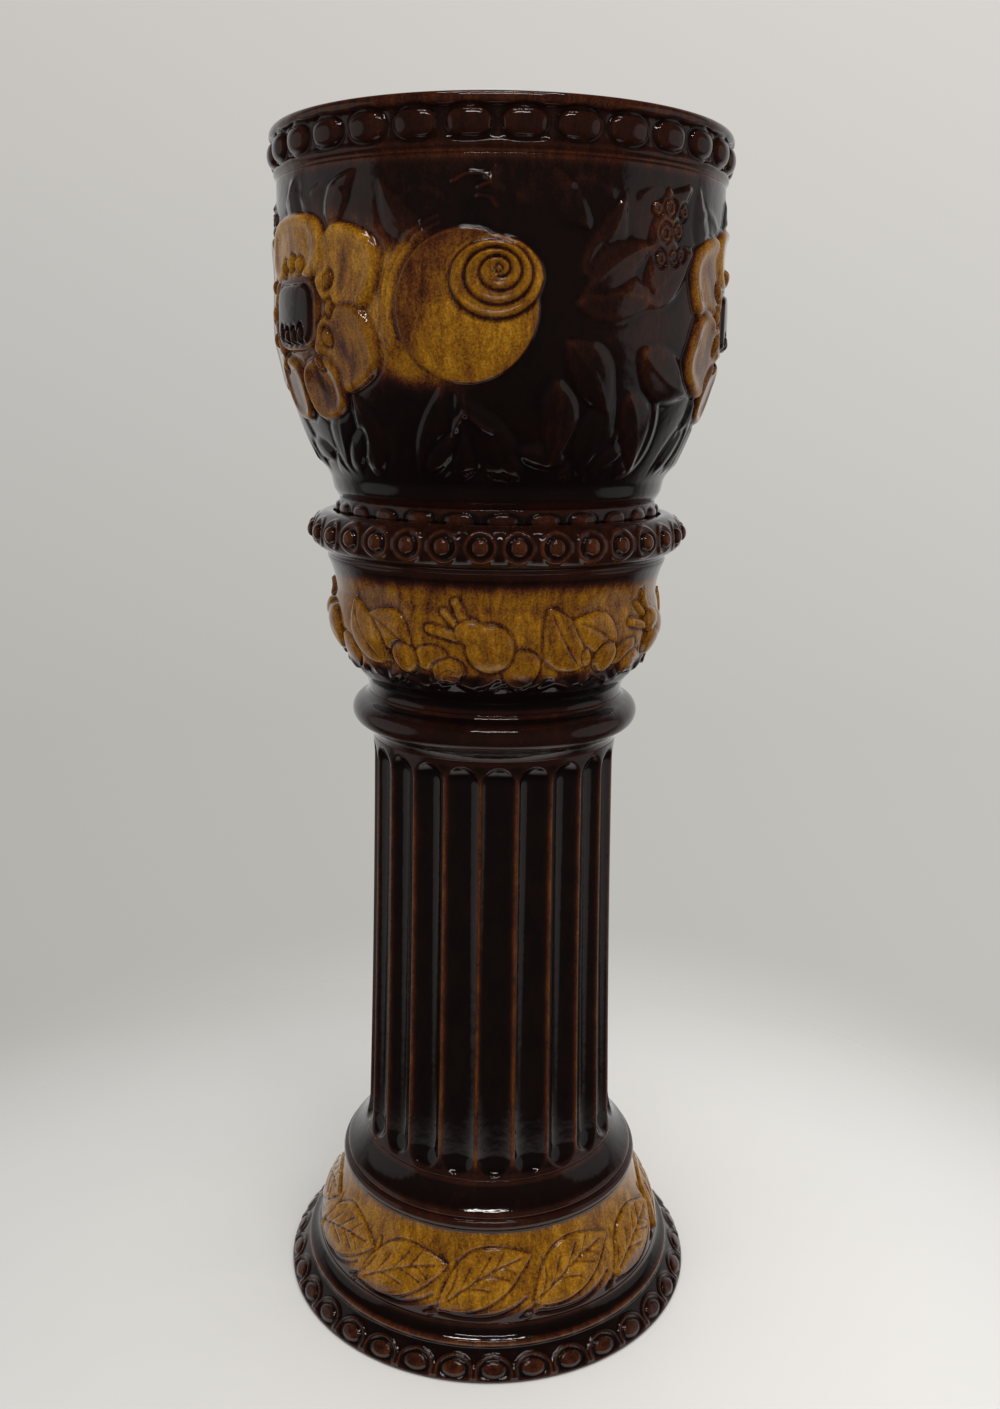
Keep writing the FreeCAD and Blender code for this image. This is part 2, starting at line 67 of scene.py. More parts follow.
# Heights at which the sections meet, and the height that the pot stands at.
BASE_TOP, COVE_TOP, SHAFT_TOP, NECK_TOP = map(top, ("base", "column_foot", "column", "neck_ring"))
STAND_TOP, FOOT_TOP, BOWL_TOP, POT_TOP = map(top, ("capital", "pot_foot", "pot_bowl", "pot_rim"))
SEAT = round(float(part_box("pot_foot")[0][2]) / MM, 3)

# Outside radii at the seams between sections and between pieces.
PLINTH_R, BAND_R, SHAFT_FOOT_R, SHAFT_TOP_R, NECK_R = 120.8, 102, 87.6, 79.8, 82.2
DISH_R, FOOT_R, COLLAR_R = 107.2, 99.2, 133.4
# Radii of the hollows: the stand's bore, its head, its open foot, the pot's mouth and foot ring.
BORE_R, HEAD_R, OPEN_R, MOUTH_R, FOOT_RING_R = 68, 91, 114.2, 125, 87.6
# Heights of the seams inside the base and the capital.
PLINTH_TOP, DISH_TOP = 28, 505.5


# ---- outlines

def edge_points(start, end, bulge, spacing):
    """Points from start up to, not with, end, on a line or an arc that stands out to the right by
    bulge."""
    start, end = np.array(start, float), np.array(end, float)
    chord = end - start
    length = math.hypot(*chord)
    count = max(1, int(round(length / spacing)))
    t = np.arange(count) / count
    points = start + t[:, None] * chord
    if bulge:
        radius = length ** 2 / (8 * abs(bulge)) + abs(bulge) / 2
        across = (t - 0.5) * length
        rise = np.sqrt(radius ** 2 - across ** 2) - (radius - abs(bulge))
        right = np.array([chord[1], -chord[0]]) / length
        points = points + math.copysign(1, bulge) * rise[:, None] * right
    return points


def run(corners, step, soft):
    """One run of an outline, from corners of radius, height and, where it isn't 0, the bulge of the
    edge that leaves them. It is rounded by about soft mm, as glaze does, and read off at steps."""
    corners = [(*corner, 0)[:3] for corner in corners]
    fine = 0.2
    points = [edge_points(a[:2], b[:2], a[2], fine) for a, b in zip(corners, corners[1:])]
    points = np.vstack(points + [np.array([corners[-1][:2]], float)])
    if soft:
        reach = min(int(3 * soft / fine), len(points) - 1)
        kernel = np.exp(-0.5 * (np.arange(-reach, reach + 1) * fine / soft) ** 2)
        kernel /= kernel.sum()
        before = 2 * points[0] - points[reach:0:-1]
        after = 2 * points[-1] - points[-2:-reach - 2:-1]
        padded = np.vstack([before, points, after])
        points = np.stack([np.convolve(padded[:, k], kernel, "valid") for k in (0, 1)], axis=1)
    gaps = np.hypot(*np.diff(points, axis=0).T)
    along = np.concatenate([[0], np.cumsum(gaps)])
    if callable(step):
        places, at = [0.0], 0.0
        while at < along[-1]:
            at += step(np.interp(at, along, points[:, 1]))
            places.append(min(at, along[-1]))
        if len(places) > 2 and places[-1] - places[-2] < 0.4 * step(points[-1, 1]):
            places.pop(-2)
    else:
        places = np.linspace(0, along[-1], max(2, int(round(along[-1] / step)) + 1))
    return np.stack([np.interp(places, along, points[:, k]) for k in (0, 1)], axis=1)


def outline(runs, closed=True):
    """Join runs into one outline: radii, heights, and the outward direction at each point."""
    points = np.vstack([runs[0]] + [following[1:] for following in runs[1:]])
    if closed:
        points = points[:-1] if np.allclose(points[0], points[-1]) else points
        way = np.roll(points, -1, axis=0) - np.roll(points, 1, axis=0)
    else:
        way = np.gradient(points, axis=0)
    way /= np.maximum(np.hypot(*way.T), 1e-9)[:, None]
    return points[:, 0], points[:, 1], way[:, 1], -way[:, 0]


# ---- small field tools

def smooth_step(low, high, value):
    t = np.clip((value - low) / (high - low), 0, 1)
    return t * t * (3 - 2 * t)


def bell(value, width):
    return np.exp(-(value / width) ** 2)


def blur(field, sigma, axis):
    """Gaussian blur along an axis that closes on itself."""
    reach = max(1, int(math.ceil(2.5 * sigma)))
    total, weights = 0, 0
    for shift in range(-reach, reach + 1):
        weight = math.exp(-0.5 * (shift / sigma) ** 2)
        total = total + weight * np.roll(field, shift, axis=axis)
        weights += weight
    return total / weights


def swell(edge, share=1.0, power=0.5):
    """A rounded form's height as a share: 1 in its middle, falling towards its edge."""
    return np.clip(1 - share * edge ** 2, 0, 1) ** power


def oval_edge(dx, dz, wide, tall, power):
    """How far places lie towards the edge of an oval. It grows squarer with power."""
    return (np.abs(dx / wide) ** power + np.abs(dz / tall) ** power) ** (1 / power)


def smooth_line(points, parts=6):
    """Places on a smooth curve through points."""
    points = np.array(points, float)
    line = []
    ends = np.vstack([2 * points[0] - points[1], points, 2 * points[-1] - points[-2]])
    for a, b, c, d in zip(ends, ends[1:], ends[2:], ends[3:]):
        for t in np.arange(parts) / parts:
            line.append(0.5 * (2 * b + (c - a) * t + (2 * a - 5 * b + 4 * c - d) * t ** 2
                               + (3 * b - a - 3 * c + d) * t ** 3))
    return np.array(line + [points[-1]])


class Clay:
    """Relief modelled on a turned form. Places are x, mm round the form from its front, to the
    right, and z, the height in mm. Motifs are laid one over another, as a modeller lays on clay.
    Amber is how thin the glaze lies: 0 is thick and dark, 1 is thin and pale."""

    def __init__(self, azimuth, height, radius):
        self.radius = radius
        self.x = np.radians(azimuth)[:, None] * radius
        self.z = height[None, :]
        self.h = np.zeros((len(azimuth), len(height)))
        self.amber = np.zeros_like(self.h)

    def round_at(self, azimuth):
        """Place round the form at an azimuth."""
        return math.radians(azimuth) * self.radius

    def near(self, azimuth, z, turn=0.0):
        """Places about a centre, turned by an angle against the clock."""
        girth = 2 * math.pi * self.radius
        dx = (self.x - self.round_at(azimuth) + girth / 2) % girth - girth / 2
        dz = self.z - z
        c, s = math.cos(math.radians(turn)), math.sin(math.radians(turn))
        return dx * c + dz * s, -dx * s + dz * c

    def lay(self, edge, height, amber=None, groove=0.0, size=10.0, soft=0.8, cut=0.9):
        """Lay a form. Edge is 0 in its middle and 1 at its edge, and size is its half width."""
        inside = smooth_step(1 + soft / size, 1 - soft / size, edge)
        self.h += inside * (height - self.h)
        if groove:
            self.h -= groove * bell((edge - 1) * size, cut)
        if amber is not None:
            self.amber += inside * (amber - self.amber)

    def oval(self, azimuth, z, wide, tall, height, turn=0.0, power=2.0, dome=1.0, **more):
        """An oval of half widths wide and tall, flat on top at a dome of 0 and round at 1."""
        edge = oval_edge(*self.near(azimuth, z, turn), wide, tall, power)
        self.lay(edge, height * (1 - (1 - swell(edge)) * dome), size=min(wide, tall), **more)

    def leaf(self, azimuth, z, length, width, turn, lift, bend=0.0, belly=0.8, rib=0.5, crown=1.2,
             edge_bead=0.0, **more):
        """A pointed leaf from its stem at a place towards its tip."""
        dx, dy = self.near(azimuth, z, turn)
        t = np.clip(dx / length, 0, 1)
        side = dy - bend * 4 * t * (1 - t)
        half = width / 2 * np.sin(math.pi * t ** belly) ** 0.85 + 1e-3
        edge = np.where((dx > 0) & (dx < length), np.abs(side) / np.maximum(half, 0.4), 9.0)
        form = lift + crown * (1 - np.clip(edge, 0, 1) ** 2)
        form = form - rib * bell(side, 0.8) * smooth_step(1.0, 0.9, t)
        if edge_bead:
            form = form + edge_bead * bell((edge - 0.92) * half, 1.0)
        self.lay(edge, form, size=width / 2, **more)

    def club(self, azimuth, z, tip, root, end, height, **more):
        """A limb that swells from a root to a rounded end. Its tip is given from its root."""
        dx, dz = self.near(azimuth, z)
        t = np.clip((dx * tip[0] + dz * tip[1]) / (tip[0] ** 2 + tip[1] ** 2), 0, 1)
        reach = root + (end - root) * t ** 2
        edge = np.hypot(dx - t * tip[0], dz - t * tip[1]) / reach
        self.lay(edge, height * swell(edge, 0.8), size=min(root, end), **more)

    def cord(self, points, width, height, amber=None):
        """A smooth line through places, raised or, if its height is negative, cut."""
        smooth = smooth_line(points)
        girth = 2 * math.pi * self.radius
        low, high = smooth.min(axis=0) - 3 * width, smooth.max(axis=0) + 3 * width
        middle = (low[0] + high[0]) / 2
        dx = (self.x[:, 0] - middle + girth / 2) % girth - girth / 2 + middle
        columns = np.flatnonzero((dx > low[0]) & (dx < high[0]))
        rows = np.flatnonzero((self.z[0] > low[1]) & (self.z[0] < high[1]))
        if not len(columns) or not len(rows):
            return
        px, pz = dx[columns][:, None], self.z[0][rows][None, :]
        nearest = np.full((len(columns), len(rows)), 1e9)
        for (x0, z0), (x1, z1) in zip(smooth, smooth[1:]):
            run_x, run_z = x1 - x0, z1 - z0
            length_squared = run_x ** 2 + run_z ** 2 + 1e-9
            t = np.clip(((px - x0) * run_x + (pz - z0) * run_z) / length_squared, 0, 1)
            nearest = np.minimum(nearest, np.hypot(px - x0 - t * run_x, pz - z0 - t * run_z))
        form = bell(nearest, width)
        block = np.ix_(columns, rows)
        self.h[block] += height * form
        if amber is not None:
            self.amber[block] += form * (amber - self.amber[block])

    def ovals(self, azimuth, places, *sizes, **more):
        """Like ovals, at places in mm from an azimuth."""
        for dx, z in places:
            self.oval(azimuth + math.degrees(1 / self.radius) * dx, z, *sizes, **more)

    def path(self, x, z, steps, width, height):
        """A cord whose places are steps from a place."""
        self.cord([(x + dx, dz + z) for dx, dz in steps], width, height)

    def ground(self, azimuth, z, wide, tall, amber, fade=0.35):
        """Thin the glaze over a soft patch."""
        edge = oval_edge(*self.near(azimuth, z), wide, tall, 2.2)
        self.amber = np.maximum(self.amber, amber * smooth_step(1 + fade, 1 - fade, edge))


# ---- node trees

class Nodes:
    """Short hand for building a node tree from empty."""

    def __init__(self, tree):
        self.tree = tree
        self.tree.nodes.clear()

    def add(self, kind, inputs=None, **settings):
        count = len(self.tree.nodes)
        item = self.tree.nodes.new(kind)
        item.location = (200 * (count // 4), -260 * (count % 4))
        for key, value in settings.items():
            setattr(item, key, value)
        self.wire(item, inputs or {})
        return item

    def wire(self, item, inputs):
        """Link or set a node's inputs."""
        for key, value in inputs.items():
            if isinstance(value, bpy.types.NodeSocket):
                self.tree.links.new(value, item.inputs[key])
            else:
                item.inputs[key].default_value = value

    def math(self, operation, *values, clamp=False):
        return self.add("ShaderNodeMath", dict(enumerate(values)), operation=operation,
                        use_clamp=clamp).outputs[0]

    def ramp(self, value, stops):
        item = self.add("ShaderNodeValToRGB", {0: value})
        elements = item.color_ramp.elements
        while len(elements) < len(stops):
            elements.new(0.5)
        for element, (place, colour) in zip(elements, stops):
            element.position = place
            element.color = (*colour, 1)
        return item.outputs[0]

    def noise(self, vector, scale, detail=3.0, rough=0.55):
        return self.add("ShaderNodeTexNoise", {"Vector": vector, "Scale": scale, "Detail": detail,
                                               "Roughness": rough}).outputs["Fac"]

    def fade(self, value, start, end, low, high):
        """Turn a value smoothly into low up to start and high from end on."""
        return self.add("ShaderNodeMapRange", {
            "Value": value, "From Min": start, "From Max": end, "To Min": low, "To Max": high},
            interpolation_type="SMOOTHSTEP").outputs[0]


# ---- pieces

def grid_mesh(name, azimuth, radius, height, marks, wrap, poles):
    """A mesh over columns (azimuths) and rows (outline points). Wrap joins the last column to the
    first. The rows close on themselves or, with poles, end in two points on the axis."""
    columns, rows = radius.shape
    angle = np.radians(azimuth)[:, None]
    places = np.stack([radius * np.sin(angle), -radius * np.cos(angle), height], axis=-1) * MM
    index = np.arange(columns * rows).reshape(columns, rows)
    if poles:
        index[:, 0] = index[0, 0]
        index[:, -1] = index[0, -1]
    left = index if wrap else index[:-1]
    right = np.roll(index, -1, axis=0) if wrap else index[1:]
    if poles:
        quads = [left[:, :-1], right[:, :-1], right[:, 1:], left[:, 1:]]
    else:
        quads = [left, right, np.roll(right, -1, axis=1), np.roll(left, -1, axis=1)]
    faces = np.stack([corner.ravel() for corner in quads], axis=1)
    three_low, three_high = faces[:, 0] == faces[:, 1], faces[:, 2] == faces[:, 3]
    whole = faces[~(three_low | three_high)]
    corners = np.vstack([faces[three_low][:, [0, 2, 3]], faces[three_high][:, [0, 1, 2]]])
    loops = np.concatenate([whole.ravel(), corners.ravel()])
    sizes = np.concatenate([np.full(len(whole), 4), np.full(len(corners), 3)])
    used, loops = np.unique(loops, return_inverse=True)
    mesh = bpy.data.meshes.new(name)
    mesh.vertices.add(len(used))
    mesh.vertices.foreach_set("co", places.reshape(-1, 3)[used].ravel().astype(np.float32))
    mesh.loops.add(len(loops))
    mesh.loops.foreach_set("vertex_index", loops.astype(np.int32))
    mesh.polygons.add(len(sizes))
    starts = np.concatenate([[0], np.cumsum(sizes)[:-1]])
    mesh.polygons.foreach_set("loop_start", starts.astype(np.int32))
    for mark, values in marks.items():
        layer = mesh.attributes.new(mark, "FLOAT", "POINT")
        layer.data.foreach_set("value", values.ravel()[used].astype(np.float32))
    mesh.update(calc_edges=True)
    mesh.validate()
    mesh.shade_smooth()
    return mesh, used


def form(azimuth, shape, relief, wrap, edge_scale, bare):
    """Radii and heights of a form with its relief, and the marks that the glaze reads: how thin it
    lies (amber), how proud an edge stands (crest), and where the clay has none (bare)."""
    radius, height, out_r, out_z = shape
    proud, amber = relief(azimuth, radius, height)
    full_r, full_z = radius + proud * out_r, height + proud * out_z
    loop_r, loop_z = (full_r, full_z) if wrap else (full_r[:-1], full_z[:-1])
    # An edge stands proud of what lies within reach of it. Rows are about a step apart.
    reach, row_step = 2.2, 0.85
    column_step = math.radians(azimuth[1] - azimuth[0]) * max(radius)
    soft_r, soft_z = (blur(blur(field, reach / column_step, 0), reach / row_step, 1)
                      for field in (loop_r, loop_z))
    crest = ((loop_r - soft_r) * out_r + (loop_z - soft_z) * out_z) / edge_scale
    crest = np.clip(crest, -1, 1)
    if not wrap:
        crest = np.vstack([crest, crest[:1]])
    no_glaze = bare(radius, height) if bare else np.zeros(len(radius))
    return full_r, full_z, {"amber": np.broadcast_to(amber, full_r.shape), "crest": crest,
                            "bare": np.broadcast_to(no_glaze, full_r.shape)}


# Each visible piece: the node it stands for, its body, its slot, and its glaze's name, how much
# thinner it lies all over, and how uneven it is.
DARK = ("treacle_dark", 0.0, 0.30)
BOWL = ("treacle_bowl", 0.0, 0.35)
PIECES = {
    "rim_beaded": ("pot_rim", "jardiniere", "rim_glaze", ("treacle_rim", 0.03, 0.25)),
    "bowl_front": ("pot_bowl", "jardiniere", "dark_glaze", BOWL),
    "bowl_back": ("pot_bowl", "jardiniere", "dark_glaze", BOWL),
    "foot_ovals": ("pot_foot", "jardiniere", "dark_glaze", DARK),
    "capital_beaded_rim": ("capital", "pedestal", "amber_glaze", ("treacle_stand_rim", 0.03, 0.25)),
    "capital_dish": ("capital", "pedestal", "amber_glaze", ("treacle_amber", 0.0, 0.30)),
    "neck_moulding": ("neck_ring", "pedestal", "dark_glaze", DARK),
    "fluted_shaft": ("column", "pedestal", "dark_glaze", DARK),
    "coved_ring": ("column_foot", "pedestal", "dark_glaze", DARK),
    "plinth_ovals": ("base", "pedestal", "amber_glaze", ("treacle_plinth", 0.0, 0.25)),
    "garland_band": ("base", "pedestal", "amber_glaze", ("treacle_garland", 0.0, 0.30)),
}


def piece(name, mesh):
    """Put a finished mesh in the scene in the place of its node."""
    node, body, slot, finish = PIECES[name]
    obj = bpy.data.objects.new(name, mesh)
    bpy.context.scene.collection.objects.link(obj)
    if not mesh.materials:
        mesh.materials.append(glaze(*finish))
    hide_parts(node)
    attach(obj, body)


def ring_piece(name, shape, columns, relief, edge_scale=0.3, bare=None):
    """A piece that goes once round the axis."""
    azimuth = np.arange(columns) * 360 / columns
    radius, height, marks = form(azimuth, shape, relief, True, edge_scale, bare)
    mesh, _ = grid_mesh(name, azimuth, radius, height, marks, True, False)
    piece(name, mesh)


def repeat_tree():
    """The node tree that repeats a cell round the upright axis."""
    name = "Repeat round the axis"
    tree = bpy.data.node_groups.get(name)
    if tree:
        return tree
    tree = bpy.data.node_groups.new(name, "GeometryNodeTree")
    socket = tree.interface.new_socket
    socket("Geometry", in_out="INPUT", socket_type="NodeSocketGeometry")
    socket("Count", in_out="INPUT", socket_type="NodeSocketInt").min_value = 1
    socket("Weld Distance", in_out="INPUT", socket_type="NodeSocketFloat").subtype = "DISTANCE"
    socket("Material", in_out="INPUT", socket_type="NodeSocketMaterial")
    socket("Geometry", in_out="OUTPUT", socket_type="NodeSocketGeometry")
    n = Nodes(tree)
    entry = n.add("NodeGroupInput").outputs
    points = n.add("GeometryNodePoints", {"Count": entry["Count"]}).outputs[0]
    share = n.math("DIVIDE", n.add("GeometryNodeInputIndex").outputs[0], entry["Count"])
    turn = n.add("ShaderNodeCombineXYZ", {"Z": n.math("MULTIPLY", share, 2 * math.pi)}).outputs[0]
    cells = n.add("GeometryNodeInstanceOnPoints", {
        "Points": points, "Instance": entry["Geometry"], "Rotation": turn}).outputs[0]
    ring = n.add("GeometryNodeRealizeInstances", {0: cells}).outputs[0]
    welded = n.add("GeometryNodeMergeByDistance", {
        "Geometry": ring, "Distance": entry["Weld Distance"]}).outputs[0]
    painted = n.add("GeometryNodeSetMaterial", {
        "Geometry": welded, "Material": entry["Material"]}).outputs[0]
    n.add("NodeGroupOutput", {"Geometry": painted})
    return tree


def repeated_piece(name, shape, count, columns, relief, first, poles=False, edge_scale=0.3,
                   bare=None):
    """A piece made of a cell, repeated count times round the axis. First is one cell's azimuth."""
    pitch = 360 / count
    local = np.linspace(-pitch / 2, pitch / 2, columns + 1)
    radius, height, marks = form(local, shape, relief, False, edge_scale, bare)
    cell, _ = grid_mesh(name + "_cell", local + first, radius, height, marks, False, poles)
    maker = bpy.data.objects.new(name + "_cell", cell)
    bpy.context.scene.collection.objects.link(maker)
    ring = maker.modifiers.new("Ring", "NODES")
    ring.node_group = repeat_tree()
    inputs = {item.name: item.identifier for item in ring.node_group.interface.items_tree
              if item.in_out == "INPUT"}
    ring[inputs["Count"]] = count
    ring[inputs["Weld Distance"]] = 0.002 * MM
    ring[inputs["Material"]] = glaze(*PIECES[name][3])
    bpy.context.view_layer.update()
    ready = maker.evaluated_get(bpy.context.evaluated_depsgraph_get())
    mesh = bpy.data.meshes.new_from_object(ready)
    mesh.name = name
    bpy.data.objects.remove(maker)
    bpy.data.meshes.remove(cell)
    if len(mesh.polygons) < count * columns:
        raise RuntimeError(f"{name} came out empty")
    mesh.shade_smooth()
    piece(name, mesh)


# ---- reliefs

def plain_relief(thinness, azimuth, radius, height):
    """No relief, with the same thinness of glaze all over the outside."""
    inside = 76
    flat = np.zeros((len(azimuth), len(radius)))
    return flat, flat + thinness * (radius > inside)


def rim_relief(settings, azimuth, radius, height):
    """Wide ovals in fine grooves under the pot's lip."""
    wide, tall = 11.9, 7.7
    clay = Clay(azimuth, height, 134.0)
    edge = oval_edge(*clay.near(0, 735.8), wide, tall, 2.2)
    clay.h += -0.6 * bell((edge - 1.06) * tall, 1.0)
    clay.lay(edge, settings.bead_height * swell(edge, power=0.55), size=tall, soft=0.7)
    clay.amber += 0.185 - 0.02 * smooth_step(1.1, 0.5, edge) + 0.05 * smooth_step(743, 746, height)
    outer = radius > 130
    band = (height > BOWL_TOP + 0.2) & (height < 746) & outer
    return clay.h * band, clay.amber * outer + 0.14 * ~outer


def foot_relief(azimuth, radius, height):
    """Round-ended ovals round the pot's foot."""
    clay, proud = Clay(azimuth, height, 99.0), 2.2
    clay.oval(0, 533.6, 8.9, 5.4, proud, power=2.4, groove=0.6)
    return clay.h * (radius > 92), clay.amber + 0.10 + 0.08 * np.clip(clay.h / proud, 0, 1)


def capital_rim_relief(azimuth, radius, height):
    """Small round beads, each in a wider raised ring."""
    bead, groove, ring = 5.0, 5.9, 8.2
    clay = Clay(azimuth, height, 114.0)
    dx, dz = clay.near(0, 521.6)
    away = np.hypot(dx, dz * 1.02)
    clay.h += 0.9 * bell(away - ring, 1.3) - 1.1 * bell(away - groove, 0.9)
    clay.lay(away / bead, 3.2 * swell(away / bead), size=bead, soft=0.6)
    band = (radius > 108) * smooth_step(509.5, 512.5, height) * smooth_step(532.5, 530, height)
    amber = 0.10 + 0.02 * bell(away - 8.0, 2.0) + 0.02 * smooth_step(4.5, 2, away)
    amber = amber * smooth_step(508.5, 512, height) * (radius > 104.5)
    return clay.h * band, amber + 0.07


def flute_relief(settings, azimuth, radius, height):
    """One flute with rounded ends, between two narrow arrises."""
    shaft_r, arris, low_end, high_end = 82, 0.75, 121.5, 373.0
    outer = radius > 72
    half_pitch = math.radians(azimuth[-1] - azimuth[0]) / 2 * shaft_r
    half, depth = half_pitch - arris, settings.flute_depth
    curve = (half ** 2 + depth ** 2) / (2 * depth)
    x = np.radians(azimuth)[:, None] * shaft_r
    beyond = np.maximum(0, np.maximum(low_end - height, height - high_end))[None, :]
    inside = curve ** 2 - x ** 2 - (beyond * curve / (curve + 1.0)) ** 2
    cut = np.maximum(0, np.sqrt(np.maximum(inside, 0)) - (curve - depth)) * outer
    cut = blur(cut[:-1], 0.55, 0)
    shaft = smooth_step(106, 124, height) * smooth_step(386, 366, height) * outer
    side = np.abs(x) - half_pitch
    amber = 0.05 + (0.19 * bell(side, 1.0) + 0.09 * bell(side, 4.0) + 0.03) * shaft
    return -np.vstack([cut, cut[:1]]), amber


def plinth_relief(azimuth, radius, height):
    """Flat ovals on the plinth, each under a raised horseshoe arch."""
    slope = 1.36  # how much longer the sloping face is than high
    clay = Clay(azimuth, height * slope, 134.5)
    dx, dz = clay.near(0, 7.0 * slope)
    edge = np.hypot(dx / 7.7, dz / 4.9)
    arch = np.hypot(dx / 11.1, np.maximum(dz + 2.0, 0) / 9.3 + np.minimum(dz + 2.0, 0) / 40)
    clay.h += 1.3 * bell((arch - 1) * 9.5, 1.05) * smooth_step(-9.5, -7.0, dz)
    clay.lay(edge, 1.7 * swell(edge ** 2), size=5, soft=0.7)
    clay.h -= 0.5 * bell((edge - 1.12) * 5, 0.9)
    face = (radius > 126.5) * smooth_step(2.2, 3.8, height) * smooth_step(16.4, 15.4, height)
    ridge = bell(height - 18.3, 1.6) * (radius > 120)
    amber = 0.11 + (0.05 + 0.05 * smooth_step(0.3, 1.5, clay.h)) * face + 0.26 * ridge
    return clay.h * face, amber


def garland_leaf(clay, x, z, length, width, turn, bend):
    """A broad leaf of the garland with cut ribs, from its stem at a place."""
    clay.leaf(math.degrees(x / clay.radius), z, length, width, turn, 1.0, bend=bend, belly=0.86,
              rib=0, crown=0.9, groove=1.4, cut=1.2, soft=1.0, edge_bead=0.7)
    c, s = math.cos(math.radians(turn)), math.sin(math.radians(turn))

    def on_leaf(along, side):
        side = side * width + bend * 4 * along * (1 - along)
        return (x + along * length * c - side * s, z + along * length * s + side * c)

    clay.cord([on_leaf(t, 0) for t in (0.07, 0.35, 0.62, 0.88)], 1.0, -1.1)
    for start, reach, side in ((0.20, 0.20, 1), (0.40, 0.22, 1), (0.60, 0.17, 1), (0.28, 0.22, -1),
                               (0.50, 0.20, -1), (0.68, 0.12, -1)):
        clay.cord([on_leaf(start, 0), on_leaf(start + reach * 0.5, side * 0.11),
                   on_leaf(start + reach, side * 0.26)], 0.85, -0.85)


def garland_relief(settings, azimuth, radius, height):
    """A garland of overlapping leaves round the base."""
    clay = Clay(azimuth, height, 112.0)
    count = settings.garland_leaves
    pitch = 2 * math.pi * clay.radius / count
    stems = [clay.round_at(-14.5) + number * pitch for number in range(count)]
    for number, x in enumerate(stems):
        garland_leaf(clay, x, 36.5 + 3 * math.sin(number * 1.5), 65, 31,
                     20 + 6 * math.cos(number * 1.6), 4.5)
    # The stem swings along under each leaf and up between two of them.
    for x in stems:
        clay.path(x, 0, [(-9, 32.0), (-2, 36), (5, 44), (9, 53), (8, 62)], 1.0, -1.0)
        clay.path(x, 0, [(-6, 30.5), (3, 37), (2, 40)], 1.5, 1.1)
        clay.path(x, 0, [(-5, 34.0), (14, 31.6), (32, 32.4), (46, 37.5), (53, 42)], 1.3, -1.1)
    outer = radius > np.interp(height, (28, 73), (117.5, 97))
    band = outer * smooth_step(28.2, 30.5, height) * smooth_step(81, 78, height)
    thin = smooth_step(28.5, 41, height) * smooth_step(86.5, 79.5, height) * outer
    ring = (height > 80.5) * outer
    return clay.h * band, 0.06 + 0.72 * thin * (1 - ring) + 0.04 * ring


def capital_relief(settings, azimuth, radius, height):
    """A band of buds with crowns, fruit and leaves, once or more round the capital."""
    clay = Clay(azimuth, height, 103.0)
    groups = settings.capital_groups
    leaf = dict(rib=0.9, crown=1.3, groove=0.9, soft=1.4, cut=1.2)
    fruit = dict(dome=0.8, soft=1.4)
    for number in range(groups):
        at = -3.5 + number * 360 / groups
        x = clay.round_at(at)
        clay.leaf(at - 24.5, 458, 38, 25, 150, 1.0, bend=-3, belly=0.95, **leaf)
        clay.leaf(at + 34, 449, 43, 30, 122, 1.2, bend=3, belly=0.72, **leaf)
        clay.oval(at - 18.5, 455, 12, 8, 1.6, turn=15, groove=0.6, **fruit)
        clay.oval(at + 12.5, 450, 12, 12, 2.2, turn=-25, groove=0.8, **fruit)
        clay.oval(at - 36.5, 455, 3.8, 7.0, 2.2, turn=25, groove=0.6)
        clay.oval(at - 28.0, 454, 9.2, 10.4, 3.2, turn=15, groove=1.0, cut=1.1)
        clay.oval(at - 12.5, 447.5, 11.0, 8.0, 2.6, turn=10, groove=0.9, cut=1.1)
        for bow in (-3, 0.5, 4):
            clay.path(x, bow, [(-30, 443), (-23, 448.5), (-16, 447.5)], 0.7, -0.5)
        # The bud's crown of three rounded limbs, and the bud itself over their roots.
        clay.club(at - 5.5, 470, (-14, 13), 2.4, 2.1, 2.0, groove=0.8)
        clay.club(at - 6.0, 468, (-21, 5), 2.9, 2.9, 2.5, groove=0.9)
        clay.club(at - 5.0, 471, (-7.5, 17.5), 3.0, 2.8, 2.6, groove=0.9)
        dx, dz = clay.near(at + 1.5, 462.5)
        body = np.hypot((dx - 1) / 14.2, (dz + 0.5) / 14.6)
        neck = np.hypot((dx + 10.5) / 9.0, (dz - 9.5) / 7.2)
        melt = 0.09
        edge = -melt * np.log(np.exp(-body / melt) + np.exp(-neck / melt))
        clay.lay(edge, 4.6 * swell(np.clip(edge, 0, 1), 0.85), size=14, groove=1.2, cut=1.2,
                 soft=1.0)
        clay.path(x, 0, [(-8, 468), (1, 464), (10, 459)], 0.9, -0.4)
    # The wavy leaf edge along the band's foot.
    for number in range(groups * 4):
        x = 2 * math.pi * clay.radius * (number + 0.3) / (groups * 4)
        sway = 1.5 * math.sin(number * 2.3)
        clay.path(x, 0, [(-17, 440.5), (-7, 444.5 + sway), (2, 440), (12, 438.5), (19, 441)],
                  2.8, 1.1)
        clay.path(x, 0, [(-12, 436.5), (0, 441.0 - sway), (10, 435.5)], 1.8, 0.7)
    outer = radius > np.interp(height, (418, 431, 464), (78, 80, 97))
    band = outer * smooth_step(431, 437, height) * smooth_step(500, 494, height)
    thin = smooth_step(439.5, 448.5, height) * smooth_step(503.5, 491.5, height) * outer
    return clay.h * band, 0.04 + 0.64 * thin


